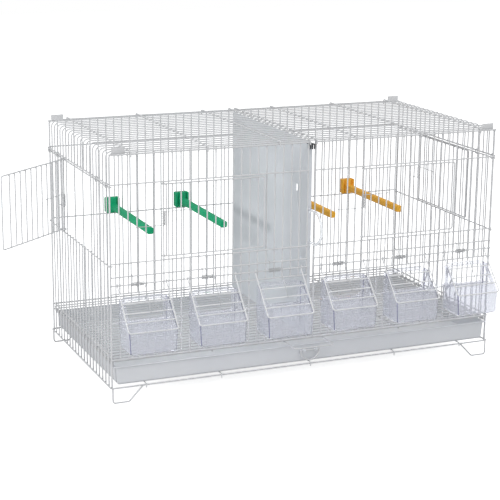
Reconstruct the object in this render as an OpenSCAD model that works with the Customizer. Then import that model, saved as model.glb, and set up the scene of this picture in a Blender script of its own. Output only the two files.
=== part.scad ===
// Canary breeding cage: welded wire panels, lift-out floor, six outside feeders.
// Cage coordinates: x from the left wall, y from the front wall to the back,
// z from the middle of the bottom rails. home() moves them to the part's frame.

/* [Cage] */
// Width between the left and right walls
cage_w = 760; // [740:1:800]
// Depth between the front and back walls
cage_d = 374.4; // [360:0.1:400]
// Height of the roof wires above the bottom rails
cage_h = 418; // [400:1:460]
// Gap between the two halves of the front, where the divider slides
centre_gap = 14.8; // [14:0.1:18]
// Gaps between uprights in each half of the front
front_gaps = 23; // [23:1:23]
// Gaps between uprights in each side wall
side_gaps = 20; // [20:1:20]
// Gaps between uprights in the back wall
back_gaps = 47; // [47:1:47]
// Bend radius at the ends of the roof wires
roof_bend = 9; // [6:0.5:14]
// Length of the roof wires' turned-down ends
roof_drop = 53.2; // [45:0.1:60]

/* [Wire] */
// Coated wire of the panels
wire_d = 2.4; // [2:0.1:2.6]
// Heavier wire of the rails and feet
rail_d = 3; // [2.6:0.1:3.4]
// Coated wire of the flaps over the feeders
flap_wire_d = 2.2; // [1.8:0.1:2.4]
// Gap left at each weld, so that every wire is a solid of its own
weld_gap = 0.04; // [0.02:0.01:0.1]
// Running clearance of what slides
slide_gap = 0.3; // [0.2:0.05:0.5]
// Clearance of a wire eye round its hinge wire
eye_gap = 0.3; // [0.2:0.05:0.5]

/* [Front doors] */
// Height of the rail under the door openings
door_sill_z = 225; // [222:1:235]
// Height of the door openings
door_open_h = 139; // [136:1:150]
// Width of a front door from its hinge wire
front_door_w = 189.3; // [182:0.1:191]
// Height of a front door
door_h = 128; // [110:1:128]
// Clearance under a front door, wire to wire
door_rise = 4.1; // [3:0.1:6]

/* [Side doors] */
// Height of the side doors' top above their rail
side_door_top = 137; // [134:0.5:137.2]
// Height of a side door
side_door_h = 133.5; // [110:0.5:133.5]
// How far the left side door stands open
left_door_open = 50.7; // [0:0.1:100]

/* [Feeders] */
// Height of the wire that the cups sit on
cup_sill_z = 119; // [112:0.5:125]
// Height of a feeding window
window_h = 52; // [50:0.5:60]
// Spacing of the two rails above a window
rail_step = 15; // [13:0.5:17]
// Width of a cup
cup_w = 88; // [76:0.5:92]
// How far a cup's front stands out from the front wall
cup_reach = 60; // [50:0.5:66]
// Depth of a cup below its front rim
cup_h = 41; // [35:0.5:46]
// Wall of a cup
cup_wall = 2; // [1.5:0.1:2.5]
// Height of the arch above the sill wire
arch_h = 46; // [38:0.5:48]
// Width of the arch's band
arch_band = 6; // [5:0.5:8]
// Width between the arms of a flap
flap_w = 90; // [86:0.5:92]
// Length of a flap from its rail
flap_l = 91.9; // [88:0.1:96]

/* [Floor] */
// Height of the tray with its lip
tray_h = 35; // [28:0.5:38]
// Wall of the tray
tray_wall = 1.8; // [1.4:0.1:2.5]
// How far the tray's ends lean in towards its underside
tray_lean = 3; // [0:0.5:5]
// Clearance of the tray's walls from the side walls' wires
tray_side_gap = 4.8; // [4.6:0.1:6]
// Headroom between tray lip and runner
tray_headroom = 1.3; // [1:0.1:2]
// Headroom between grille and upper runner
grille_headroom = 2.8; // [2:0.1:4]
// Width of the grille's wire handle
handle_w = 78.5; // [60:0.5:90]
// How far the grille's handle stands out in front
handle_reach = 43; // [30:0.5:45]
// Outer radius of the tray's pull
pull_r = 20.5; // [16:0.5:21]
// Height of the pull's hinge above the tray's underside
pull_rise = 22.8; // [20:0.1:24]

/* [Divider] */
// Thickness of the divider sheet
sheet_t = 1.2; // [0.8:0.1:2]
// Radius of the middle line of the divider's pull
d_pull_r = 30; // [24:0.5:32]
// Thickness of the divider's pull
d_pull_t = 5; // [4:0.1:6]
// Height of the middle of the divider's pull
d_pull_z = 260; // [245:1:300]

/* [Perches] */
// Width and height of a perch's rod
perch_d = 12.6; // [10:0.1:14]
// Length of a perch in front of its plate
perch_l = 222; // [200:1:270]
// Width of a perch's plates
plate_w = 28; // [26:0.5:32]
// Height of a perch's plates
plate_h = 30; // [26:0.5:34]

/* [Feet and tabs] */
// Height of the bottom rails above the floor
foot_h = 28.6; // [22:0.1:34]
// Length of the flat run of a foot
foot_run = 28; // [20:0.5:34]
// Slope of the leg that rises back to the rail
foot_slope = 46; // [40:1:60]
// Bend radius of a foot
foot_bend = 4.5; // [4:0.5:7]
// Depth of the flat pressed along a foot's underside
foot_flat = 0.4; // [0.2:0.1:0.6]
// Length of a stacking tab
tab_l = 24; // [20:0.5:28]
// Height of a stacking tab
tab_h = 8.5; // [6:0.5:12]

/* [Springs] */
// Spring wire
coil_wire = 1.2; // [0.9:0.05:1.2]
// Radius of the middle line of a door spring
door_coil_r = 2.6; // [2.5:0.05:2.7]
// Radius of the middle line of a flap spring
flap_coil_r = 3.2; // [3:0.05:3.4]
// Curls of a door spring
door_curls = 8; // [6:1:8]
// Pitch of a door spring
door_pitch = 3; // [2.4:0.1:3.4]
// Pitch of a flap spring
flap_pitch = 2.5; // [2.2:0.1:2.8]

/* [Hidden] */
$fn = 48;
wire_r = wire_d / 2;
rail_r = rail_d / 2;
coil_r = coil_wire / 2;
coil_sides = 6;
coil_steps = 8;
lap = 1;

// The uprights of each half of the front, counted from the half's left end
half_w = (cage_w - centre_gap) / 2;
front_pitch = half_w / front_gaps;
half_starts = [0, half_w + centre_gap];
windows = [[0, 7], [8, 15], [16, 23]];
door_span = [6, 18];
side_pitch = cage_d / side_gaps;
side_span = [5, 15];
back_pitch = cage_w / back_gaps;

// How far a wire crossing the uprights lies from their middle
function crossing(d) = wire_r + d / 2 + weld_gap;
cross_w = crossing(wire_d);
cross_r = crossing(rail_d);

// Floor levels, from the bottom rails up
support_z = rail_r + weld_gap + wire_r;
tray_z = support_z + wire_r + slide_gap;
tray_top = tray_z + tray_h;
runner_z = tray_top + tray_headroom + rail_r;
grille_low_z = runner_z + rail_r + slide_gap + wire_r;
grille_z = grille_low_z + wire_d + weld_gap;
grille_top = grille_z + wire_r;
upper_runner_z = grille_top + grille_headroom + rail_r;
low_rail_z = grille_top + 1.3 + rail_r;

// Wall levels
window_top = cup_sill_z + window_h;
flap_rail_z = window_top + rail_step;
hook_rail_z = flap_rail_z + rail_step;
door_top_z = door_sill_z + door_open_h;
side_sill_z = door_sill_z - 4;
roof_rail_z = cage_h - roof_drop;
side_top_z = roof_rail_z - 4.4;
top_rail_z = cage_h - 2.5;
roof_cross_z = cage_h + wire_d + weld_gap;
roof_cross_x = [37, 177.5, 315, cage_w / 2 - 6.5, cage_w / 2 + 6.5,
                cage_w - 295, cage_w - 160, cage_w - 34];
hook_y = -(cross_r + rail_r + wire_r + 0.16);
hook_drop = 9.5;
hook_bend = 3.5;
clip_y = [for (k = [0.55, 3.5]) each [k * side_pitch, cage_d - k * side_pitch]];
clip_d = 1.6;
clip_r = rail_r + clip_d / 2 + 0.1;

// Doors, measured from the hinge wire
door_plane = wire_d + eye_gap;
hinge_side = 4.8;
door_corner = 4;
side_door_w = (side_span[1] - side_span[0]) * side_pitch;
front_door_z = door_sill_z + door_rise + wire_d;
side_door_z = door_sill_z + side_door_top - 4 - side_door_h;
upright_step = 16.2;

// Feeders
cup_back = -(cross_w + wire_r + 0.7);
cup_front = -cup_reach;
cup_rim = cup_sill_z - 4;
cup_floor = cup_rim - cup_h;
lip_z = cup_sill_z + wire_r + slide_gap;
arch_top = cup_sill_z + arch_h;
arch_deep = 4.6;
flap_run = cup_reach - cross_w + 2;
flap_fall = sqrt(flap_l * flap_l - flap_run * flap_run);
flap_eye_r = wire_r + eye_gap + flap_wire_d / 2;
flap_dip = atan2(flap_fall, flap_run) - asin(flap_eye_r / flap_l);
flap_dir = [0, -cos(flap_dip), -sin(flap_dip)];
flap_up = [0, -sin(flap_dip), cos(flap_dip)];
flap_bars = [0.38, 0.59, 0.79];
cups = [for (x0 = half_starts, w = windows) x0 + front_pitch * (w[0] + w[1]) / 2];

// A perch's stud goes between two back uprights, a little right of half way
perch_slots = [7, 16, 30, 39];
perch_aside = 2.2;
function perch_x(i) = (perch_slots[i] + 0.5) * back_pitch + perch_aside;
perch_z = door_sill_z + 3 + plate_h / 2;
plate_t = 7;
perch_r = 3.5;
clamp_t = 4;
stud_d = 8.5;

// The tray's pull
pull_wire = 3.2;
pull_z = tray_z + pull_rise;
tray_front = -1.5;
pull_y = tray_front - 1 - pull_wire / 2 - 0.9;
lug_w = 5;
lug_at = 12;

// The divider
sheet_front = 6;
sheet_low = grille_top + 0.4;
sheet_top = cage_h - wire_r - 2.3;
slot_z = 314;
slot_y = 59;

// The part's origin: middle of the box round it, on the floor
reach_left = side_door_w * sin(left_door_open) + door_plane * cos(left_door_open) + wire_r;
reach_right = cage_w + cross_r + clip_r + clip_d / 2;
reach_front = cup_reach + 2 + flap_wire_d / 2;
reach_back = cage_d - hook_y + wire_r;
mid_x = (reach_right - reach_left) / 2;
mid_y = (reach_back - reach_front) / 2;

coat = [0.86, 0.87, 0.87];
sheet_grey = [0.78, 0.80, 0.82];
cup_tint = [0.78, 0.79, 0.88, 0.6];
green = [0.09, 0.61, 0.41];
orange = [0.88, 0.57, 0.14];

// ---- Helpers -------------------------------------------------------------

// Moves cage coordinates to the part's frame
module home() { translate([-mid_x, -mid_y, foot_h]) children(); }

function unit(v) = v / norm(v);
function square_to(v) = unit(cross(abs(v.z) < 0.9 * norm(v) ? [0, 0, 1] : [1, 0, 0], v));
function between(k, span) = k > span[0] && k < span[1];
function in_a_window(k) = len([for (w = windows) if (between(k, w)) 1]) > 0;

// Puts a shape at a place, with its own x, y and z along the given directions
module align(at, x, y, z) {
    multmatrix([[x.x, y.x, z.x, at.x], [x.y, y.y, z.y, at.y], [x.z, y.z, z.z, at.z], [0, 0, 0, 1]])
        children();
}

// A straight round wire from a to b
module wire(a, b, d) {
    z = unit(b - a);
    x = square_to(z);
    align(a, x, cross(z, x), z) cylinder(d = d, h = norm(b - a));
}

// Half the turn that a path makes at b, as a length along its two straights
function tangent_length(a, b, c, r) = r * tan(acos(unit(b - a) * unit(c - b)) / 2);

// A round bend of radius r at b, on the way from a to c
module elbow(a, b, c, r, d) {
    u = unit(b - a);
    w = unit(c - b);
    n = unit(w - (w * u) * u);
    align(b - u * tangent_length(a, b, c, r) + n * r, -n, u, cross(-n, u))
        rotate_extrude(angle = acos(u * w)) translate([r, 0]) circle(d = d);
}

// A wire bent round the inner corners of a path; gap parts it at its bends
module bent_wire(pts, d, r, gap = 0) {
    last = len(pts) - 1;
    cut = [for (i = [0:last]) i == 0 || i == last ? 0
        : tangent_length(pts[i - 1], pts[i], pts[i + 1], r) + gap];
    for (i = [0:last - 1]) {
        u = unit(pts[i + 1] - pts[i]);
        if (norm(pts[i + 1] - pts[i]) > cut[i] + cut[i + 1] + 0.01)
            wire(pts[i] + u * cut[i], pts[i + 1] - u * cut[i + 1], d);
    }
    for (i = [1:last - 1]) elbow(pts[i - 1], pts[i], pts[i + 1], r, d);
}

// Directions and carried frames along a list of points
function headings(p) = [for (i = [0:len(p) - 1])
    unit(p[min(i + 1, len(p) - 1)] - p[max(i - 1, 0)])];
function carried(t, i = 0, last = [0, 0, 0]) = i == len(t) ? [] :
    let (u = i == 0 ? square_to(t[0]) : unit(last - (last * t[i]) * t[i]))
    concat([u], carried(t, i + 1, u));

// One unbroken round tube of diameter d through the points
module tube(p, d, sides) {
    t = headings(p);
    u = carried(t);
    n = len(p);
    rings = [for (i = [0:n - 1], j = [0:sides - 1])
        p[i] + (cos(360 * j / sides) * u[i] + sin(360 * j / sides) * cross(t[i], u[i])) * d / 2];
    walls = [for (i = [0:n - 2], j = [0:sides - 1], half = [0, 1])
        let (k = (j + 1) % sides, a = i * sides, b = a + sides)
        half == 0 ? [a + j, b + j, b + k] : [a + j, b + k, a + k]];
    first = [for (j = [1:sides - 2]) [0, j, j + 1]];
    end = (n - 1) * sides;
    final = [for (j = [1:sides - 2]) [end, end + j + 1, end + j]];
    polyhedron(points = rings, faces = concat(walls, first, final));
}

// Least distance between parts of a coil half a curl or more apart, less its wire
function self_gap(p) = min([for (i = [0:len(p) - 5], j = [i + 4:len(p) - 1])
    norm(p[i] - p[j])]) - coil_wire;

// A plate outline with rounded corners, as points
function rounded_box(x0, y0, x1, y1, r, steps = 5) = [
    for (c = [[x1 - r, y1 - r, 0], [x0 + r, y1 - r, 90], [x0 + r, y0 + r, 180], [x1 - r, y0 + r, 270]],
         i = [0:steps])
        [c[0] + r * cos(c[2] + 90 * i / steps), c[1] + r * sin(c[2] + 90 * i / steps)]];

// Extrudes an outline drawn in y and z along x, centred on x = 0
module across(w) {
    rotate([90, 0, 90]) translate([0, 0, -w / 2]) linear_extrude(w) children();
}

// Extrudes an outline drawn in x and z along y
module inward(y0, y1) {
    translate([0, y1, 0]) rotate([90, 0, 0]) linear_extrude(y1 - y0) children();
}

// ---- Wire body -----------------------------------------------------------

// Height ranges of upright k in a half of the front; corner wires reach the floor rails
function front_stretches(k, corner) =
    let (low = k == corner ? -rail_r : low_rail_z - lap,
         door = between(k, door_span),
         top = cage_h - lap,
         rise = door ? door_sill_z + lap : top)
    concat(in_a_window(k) ? [[low, cup_sill_z], [window_top, rise]] : [[low, rise]],
           door ? [[door_top_z - lap, top]] : []);

module front_half(x0, corner) {
    for (k = [0:front_gaps], s = front_stretches(k, corner))
        wire([x0 + k * front_pitch, 0, s[0]], [x0 + k * front_pitch, 0, s[1]], wire_d);
    for (z = [cup_sill_z, window_top, flap_rail_z, hook_rail_z, door_sill_z, door_top_z])
        wire([x0 - lap, -cross_w, z], [x0 + half_w + lap, -cross_w, z], wire_d);
    for (z = [low_rail_z, top_rail_z])
        wire([x0 - lap, -cross_r, z], [x0 + half_w + lap, -cross_r, z], rail_d);
}

module front_panel_left() { home() color(coat) front_half(half_starts[0], 0); }

module front_panel_right() { home() color(coat) front_half(half_starts[1], front_gaps); }

module back_panel() {
    home() color(coat) {
        for (k = [0:back_gaps])
            wire([k * back_pitch, cage_d, -rail_r], [k * back_pitch, cage_d, cage_h - lap], wire_d);
        for (z = [low_rail_z, top_rail_z])
            wire([-lap, cage_d + cross_r, z], [cage_w + lap, cage_d + cross_r, z], rail_d);
        for (z = [door_sill_z, door_top_z + 2])
            wire([-lap, cage_d + cross_w, z], [cage_w + lap, cage_d + cross_w, z], wire_d);
    }
}

// Places of the side uprights; the end ones stand beside the corner wires
function side_y(k) = k == 0 ? wire_d + 0.1 : k == side_gaps ? cage_d - wire_d - 0.1 : k * side_pitch;

// A side wall at x = 0 whose outer face looks along -x
module side_wall() {
    for (k = [0:side_gaps])
        wire([0, side_y(k), -rail_r],
             [0, side_y(k), (between(k, side_span) ? side_sill_z : side_top_z) + lap], wire_d);
    for (z = [side_sill_z, side_top_z]) {
        wire([-cross_r, weld_gap, z], [-cross_r, cage_d - weld_gap, z], wire_d);
        for (y = [0, 1])
            translate([0, y * cage_d, z]) mirror([0, y, 0]) rotate([0, 0, 180])
                rotate_extrude(angle = 150) translate([cross_r, 0]) circle(d = wire_d);
    }
    wire([-cross_r, -lap, 0], [-cross_r, cage_d + lap, 0], rail_d);
    for (z = [runner_z, upper_runner_z])
        wire([cross_r, wire_d, z], [cross_r, cage_d - wire_d, z], rail_d);
}

module left_side_panel() { home() color(coat) side_wall(); }

module right_side_panel() { home() color(coat) translate([cage_w, 0, 0]) mirror([1, 0, 0]) side_wall(); }

module roof_panel() {
    home() color(coat) {
        for (k = [0:side_gaps]) {
            y = side_y(k);
            wire([roof_bend + weld_gap, y, cage_h], [cage_w - roof_bend - weld_gap, y, cage_h], wire_d);
            for (x = [0, cage_w])
                bent_wire([[x == 0 ? roof_bend : cage_w - roof_bend, y, cage_h], [x, y, cage_h],
                           [x, y, roof_rail_z - lap]], wire_d, roof_bend);
        }
        for (x = [-cross_r, cage_w + cross_r])
            wire([x, 0, roof_rail_z], [x, cage_d, roof_rail_z], rail_d);
        for (x = roof_cross_x) {
            wire([x, -lap, roof_cross_z], [x, cage_d + lap, roof_cross_z], wire_d);
            for (end = [0, 1])
                translate([0, end * cage_d, 0]) mirror([0, end, 0])
                    bent_wire([[x, -lap - weld_gap, roof_cross_z], [x, hook_y, roof_cross_z],
                               [x, hook_y, roof_cross_z - hook_drop]], wire_d, hook_bend);
        }
    }
}

module base_rails() {
    home() color(coat)
        for (y = [-cross_r, cage_d + cross_r])
            wire([-lap, y, 0], [cage_w + lap, y, 0], rail_d);
}

// Wires under the tray; each front end hooks down over the front rail
support_x = [61.5, 205, cage_w / 2 + 2.5, cage_w - 202.5, cage_w - 60];
module tray_support_wires() {
    home() color(coat)
        for (x = support_x) {
            wire([x, 0, support_z], [x, cage_d + cross_r, support_z], wire_d);
            bent_wire([[x, -weld_gap, support_z], [x, hook_y, support_z], [x, hook_y, -4.5]],
                      wire_d, 2.6);
        }
}

// An oblong ring round the roof's end rail and the side wall's top rail
module clip(x, y) {
    low = side_top_z;
    high = roof_rail_z;
    for (s = [-1, 1]) wire([x + s * clip_r, y, low], [x + s * clip_r, y, high], clip_d);
    for (up = [0, 1])
        translate([x, y, up == 1 ? high : low]) rotate([90, up == 1 ? 0 : 180, 0])
            rotate_extrude(angle = 180) translate([clip_r, 0]) circle(d = clip_d);
}

module panel_clips() {
    home() color(coat)
        for (x = [-cross_r, cage_w + cross_r], y = clip_y) clip(x, y);
}

// Upright plates on the roof's outer wires, which keep a cage set on top in place
module stacking_tabs() {
    home() color(coat)
        for (x = [4, cage_w - 4 - tab_l], k = [0, side_gaps])
            translate([x, side_y(k), cage_h + wire_r + weld_gap])
                inward(-0.6, 0.6) polygon(rounded_box(0, 0, tab_l, tab_h, 1.5));
}

// A foot's wire is pressed flat along its outer side, where it stands
module foot_section() {
    difference() {
        circle(d = rail_d);
        translate([rail_r - foot_flat, -rail_d]) square(2 * rail_d);
    }
}

// A foot at a front left corner: down, along the floor, and back up to the rail. Its sloping
// leg is a solid of its own, a weld gap from the bend.
module foot() {
    top = -rail_r - weld_gap;
    low = foot_bend - foot_h + rail_r - foot_flat;
    wire([0, -cross_r, top], [0, -cross_r, low], rail_d);
    translate([foot_bend, -cross_r, low]) rotate([90, 0, 0])
        rotate_extrude(angle = 90, start = 180) translate([foot_bend, 0]) foot_section();
    align([foot_bend, -cross_r, low - foot_bend], [0, 0, -1], [0, 1, 0], [1, 0, 0])
        linear_extrude(foot_run - foot_bend) foot_section();
    translate([foot_run, -cross_r, low]) rotate([90, 0, 0]) {
        rotate_extrude(angle = foot_slope, start = 270) translate([foot_bend, 0]) foot_section();
        difference() {
            rotate([0, 0, 270 + foot_slope])
                wire([foot_bend, weld_gap, 0], [foot_bend, 2 * foot_h, 0], rail_d);
            translate([-foot_run, top - low, -rail_d]) cube([5 * foot_h, 2 * foot_h, 2 * rail_d]);
        }
    }
}

module foot_front_left() { home() color(coat) foot(); }

module foot_front_right() { home() color(coat) translate([cage_w, 0, 0]) mirror([1, 0, 0]) foot(); }

module foot_back_left() { home() color(coat) translate([0, cage_d, 0]) mirror([0, 1, 0]) foot(); }

module foot_back_right() { home() color(coat) translate([cage_w, cage_d, 0]) rotate([0, 0, 180]) foot(); }

// ---- Floor ---------------------------------------------------------------

grille_side = cross_r + 0.4;
grille_gaps = 24;
grille_start = 3.6;
module floor_grille() {
    end = wire_r + 0.7;
    step = (cage_d - 2 * grille_start) / grille_gaps;
    mid = cage_w / 2 - 7.8;
    home() color(coat) {
        for (k = [0:grille_gaps])
            wire([end, grille_start + k * step, grille_z],
                 [cage_w - end, grille_start + k * step, grille_z], wire_d);
        for (x = [grille_side, cage_w / 4, cage_w * 3 / 4, cage_w - grille_side])
            wire([x, grille_start - lap, grille_low_z],
                 [x, cage_d - grille_start + lap, grille_low_z], wire_d);
        bent_wire([for (c = [[-1, 18], [-1, -handle_reach], [1, -handle_reach], [1, 18]])
            [mid + c[0] * handle_w / 2, c[1], grille_low_z]], wire_d, 9, weld_gap);
    }
}

// Outline of the tray with its lower edges rounded, seen along either axis. Its ends, a and b,
// lean in below the lip.
module tray_outline(a, b, lean, grow = 0, low = 0) {
    r = 6 + grow;
    top = tray_top + 1;
    a1 = a - grow + lean;
    b1 = b + grow - lean;
    polygon(concat([[b + grow, top], [a - grow, top]],
        [for (i = [0:4]) [a1 + r - r * cos(22.5 * i), tray_z + low + r - r * sin(22.5 * i)]],
        [for (i = [0:4]) [b1 - r + r * sin(22.5 * i), tray_z + low + r - r * cos(22.5 * i)]]));
}

module tray_block(grow, low) {
    intersection() {
        inward(tray_front - 10, cage_d)
            tray_outline(tray_side_gap + wire_r, cage_w - tray_side_gap - wire_r, tray_lean, grow, low);
        translate([cage_w / 2, 0, 0]) across(cage_w) tray_outline(tray_front, cage_d - 5, 0, grow, low);
    }
}

module tray() {
    lip_x = grille_side - 0.9;
    home() color(sheet_grey) difference() {
        union() {
            intersection() {
                tray_block(0, 0);
                translate([0, -20, tray_z]) cube([cage_w, cage_d + 40, tray_h]);
            }
            translate([lip_x, tray_front - 3.5, tray_top - 1.6])
                cube([cage_w - 2 * lip_x, cage_d - 5 - tray_front + 5, 1.6]);
        }
        tray_block(-tray_wall, tray_wall);
    }
}

pull_x = cage_w / 2 + 0.7;
module tray_pull() {
    r = pull_r - pull_wire / 2;
    home() color(sheet_grey) translate([pull_x, pull_y, pull_z]) {
        wire([-r, 0, 0], [r, 0, 0], pull_wire);
        rotate([90, 180, 0]) rotate_extrude(angle = 180) translate([r, 0]) circle(d = pull_wire);
        for (s = [-1, 1]) translate([s * r, 0, 0]) sphere(d = pull_wire);
    }
}

module tray_pull_bracket() {
    bore = pull_wire + 2 * slide_gap;
    home() color(sheet_grey) translate([pull_x, 0, pull_z])
        for (s = [-1, 1]) translate([s * lug_at, 0, 0]) difference() {
            translate([-lug_w / 2, pull_y - bore / 2 - 1, -bore / 2 - 1])
                cube([lug_w, tray_front - pull_y + bore / 2 + 1 - weld_gap, bore + 2]);
            translate([-lug_w, pull_y, 0]) rotate([0, 90, 0]) cylinder(d = bore, h = 2 * lug_w);
        }
}

// ---- Divider -------------------------------------------------------------

module divider_sheet() {
    home() color(sheet_grey) translate([cage_w / 2, 0, 0]) {
        difference() {
            across(sheet_t) polygon(rounded_box(sheet_front, sheet_low, cage_d - 3, sheet_top, 6));
            across(2 * sheet_t) polygon(rounded_box(slot_y, slot_z, slot_y + 6, slot_z + 13, 1.5));
        }
        translate([-3, sheet_front, sheet_low + 6]) cube([6, 1.2, sheet_top - sheet_low - 12]);
    }
}

module divider_pull() {
    y = sheet_front - weld_gap;
    centre = -14;
    home() color(coat) translate([cage_w / 2, 0, d_pull_z]) {
        for (s = [-1, 1]) wire([0, y, s * d_pull_r], [0, centre, s * d_pull_r], d_pull_t);
        translate([0, centre, 0]) rotate([90, 0, -90]) rotate([0, 0, -90])
            rotate_extrude(angle = 180) translate([d_pull_r, 0]) circle(d = d_pull_t);
    }
}

module divider_catch() {
    home() color([0.25, 0.26, 0.28]) translate([cage_w / 2, 0, sheet_top - 14])
        difference() {
            translate([-5, -2, 0]) cube([10, sheet_front + 10, 11]);
            translate([-sheet_t / 2 - weld_gap, sheet_front - 2 * weld_gap, -1])
                cube([sheet_t + 2 * weld_gap, 20, 20]);
            translate([-3 - weld_gap, sheet_front - weld_gap, -1]) cube([6 + 2 * weld_gap, 1.3, 20]);
        }
}

// ---- Perches -------------------------------------------------------------

module perch(i, tint) {
    face = cage_d - wire_r - weld_gap;
    home() color(tint) translate([perch_x(i), 0, perch_z]) difference() {
        union() {
            inward(face - plate_t, face)
                polygon(rounded_box(-plate_w / 2, -plate_h / 2, plate_w / 2, plate_h / 2, 2));
            inward(face - plate_t - perch_l, face - plate_t + 1) translate([0, -2])
                polygon(rounded_box(-perch_d / 2, -perch_d / 2, perch_d / 2, perch_d / 2, perch_r));
        }
        wire([0, face - 5, 0], [0, face + 1, 0], stud_d + 0.2);
    }
}

module perch_clamp(i, tint) {
    face = cage_d + wire_r + weld_gap;
    home() color(tint) translate([perch_x(i), 0, perch_z]) {
        inward(face, face + clamp_t)
            polygon(rounded_box(-plate_w / 2, -plate_h / 2 + 0.5, plate_w / 2, plate_h / 2, 2));
        wire([0, cage_d - wire_r - 4.5, 0], [0, face, 0], stud_d);
    }
}

module perch_1() { perch(0, green); }
module perch_2() { perch(1, green); }
module perch_3() { perch(2, orange); }
module perch_4() { perch(3, orange); }
module perch_clamp_1() { perch_clamp(0, green); }
module perch_clamp_2() { perch_clamp(1, green); }
module perch_clamp_3() { perch_clamp(2, orange); }
module perch_clamp_4() { perch_clamp(3, orange); }

// ---- Feeders -------------------------------------------------------------

// Side view of a cup, grown outwards by a wall or drawn in by it
module cup_side(inset) {
    r = 5 - inset;
    a = cup_front + inset;
    b = cup_back - inset;
    floor_z = cup_floor + inset;
    wing = arch_top - 5;
    polygon(concat(
        [for (i = [0:4]) [a + r - r * cos(22.5 * i), floor_z + r - r * sin(22.5 * i)]],
        [[b, floor_z], [b, wing + 1], [cup_back - arch_deep - 5, wing + 1],
         [cup_back - arch_deep - 5, wing], [a, cup_rim]]));
}

// Front view of a cup: a little narrower below, with rounded lower corners
module cup_front_view(inset) {
    top = cup_w / 2 - inset;
    low = top - 2;
    r = 5 - inset;
    floor_z = cup_floor + inset;
    polygon(concat([[top, cup_rim], [top, arch_top], [-top, arch_top], [-top, cup_rim]],
        [for (i = [0:5]) [-low + r - r * cos(18 * i), floor_z + r - r * sin(18 * i)]],
        [for (i = [0:5]) [low - r + r * sin(18 * i), floor_z + r - r * cos(18 * i)]]));
}

module cup_block(inset) {
    intersection() {
        across(cup_w + 2) cup_side(inset);
        inward(cup_front - 1, cup_back + 1) cup_front_view(inset);
    }
}

module feeder_cup(n) {
    arch_w = cup_w - 3;
    home() color(cup_tint) translate([cups[n - 1], 0, 0]) {
        difference() {
            union() {
                cup_block(0);
                inward(cup_back - arch_deep, cup_back)
                    polygon(rounded_box(-arch_w / 2, lip_z, arch_w / 2, arch_top, 10));
                translate([-arch_w / 2, cup_back - 1, lip_z]) cube([arch_w, 1 - cup_back + 1, cup_wall]);
            }
            intersection() {
                cup_block(cup_wall);
                translate([-cup_w, cup_front - 1, 0])
                    cube([2 * cup_w, cup_back - arch_deep - cup_front + 1, 2 * arch_top]);
            }
            intersection() {
                cup_block(cup_wall);
                translate([-cup_w, cup_front, cup_floor]) cube([2 * cup_w, 200, lip_z - cup_floor - 2]);
            }
            inward(cup_back - 40, cup_back + 1)
                polygon(rounded_box(-arch_w / 2 + arch_band, lip_z + cup_wall,
                                    arch_w / 2 - arch_band, arch_top - arch_band, 6));
        }
    }
}

// A place on a flap: along its slope from the middle of the rail it hangs on, and out from it
function on_flap(x, along, out = 0) = [x, -cross_w, flap_rail_z] + flap_dir * along + flap_up * out;

// Drawn flat: the rail along x, the arms along -y, the outer side up
module feeder_flap(n) {
    half = flap_w / 2;
    low = -flap_eye_r;
    home() color(coat) translate([cups[n - 1], -cross_w, flap_rail_z]) rotate([flap_dip, 0, 0]) {
        bent_wire([[-half, 0, low], [-half, -flap_l, low], [half, -flap_l, low], [half, 0, low]],
                  flap_wire_d, 5);
        for (s = [-1, 1]) translate([s * half, 0, 0]) flap_eye();
        for (share = flap_bars) {
            end = half - flap_wire_d / 2 - weld_gap;
            wire([-end, -flap_l * share, low], [end, -flap_l * share, low], flap_wire_d);
        }
    }
}

// An arm's hook: up behind the rail and over it
module flap_eye() {
    rotate([90, 0, -90])
        rotate_extrude(angle = 200, start = 70) translate([flap_eye_r, 0]) circle(d = flap_wire_d);
}

// A flap spring: hooked over the rail above, wound on the flap's rail, and down to a bar.
// A wider step half way lets one upright stand between its curls.
spring_at = -front_pitch / 2;
spring_step = 2.2;
spring_turns = 8 - (90 - flap_dip) / 360;
spring_len = flap_pitch * spring_turns + spring_step;
function spring_x(t) = spring_at - spring_len / 2 + flap_pitch * t
    + spring_step * min(1, max(0, t - 3.5));
function flap_coil(t) = [spring_x(t), -cross_w - flap_coil_r * cos(360 * t),
                         flap_rail_z - flap_coil_r * sin(360 * t)];
function flap_spring_path() =
    let (x0 = spring_x(0), x1 = spring_x(spring_turns),
         top = hook_rail_z + wire_r + slide_gap + coil_r,
         front = -cross_w - flap_coil_r,
         bar = flap_l * flap_bars[1] + flap_wire_d / 2 + coil_r + slide_gap,
         over = flap_wire_d / 2 + coil_r + slide_gap - flap_eye_r,
         n = round(spring_turns * coil_steps))
    concat([[x0, 0.5, top], [x0, front + 1.4, top], [x0, front + 0.4, top - 0.4], [x0, front, top - 1.4],
            [x0, front, flap_rail_z + 1.6]],
           [for (i = [0:n]) flap_coil(i * spring_turns / n)],
           [on_flap(x1, bar - 1.6, over), on_flap(x1, bar - 0.4, over - 0.4),
            on_flap(x1, bar, over - 1.6), on_flap(x1, bar, over - 3)]);

module flap_spring(n) {
    home() color(coat) translate([cups[n - 1], 0, 0]) tube(flap_spring_path(), coil_wire, coil_sides);
}
echo(flap_spring_self_gap_mm = self_gap([for (i = [0:63]) flap_coil(i / coil_steps)]));

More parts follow.
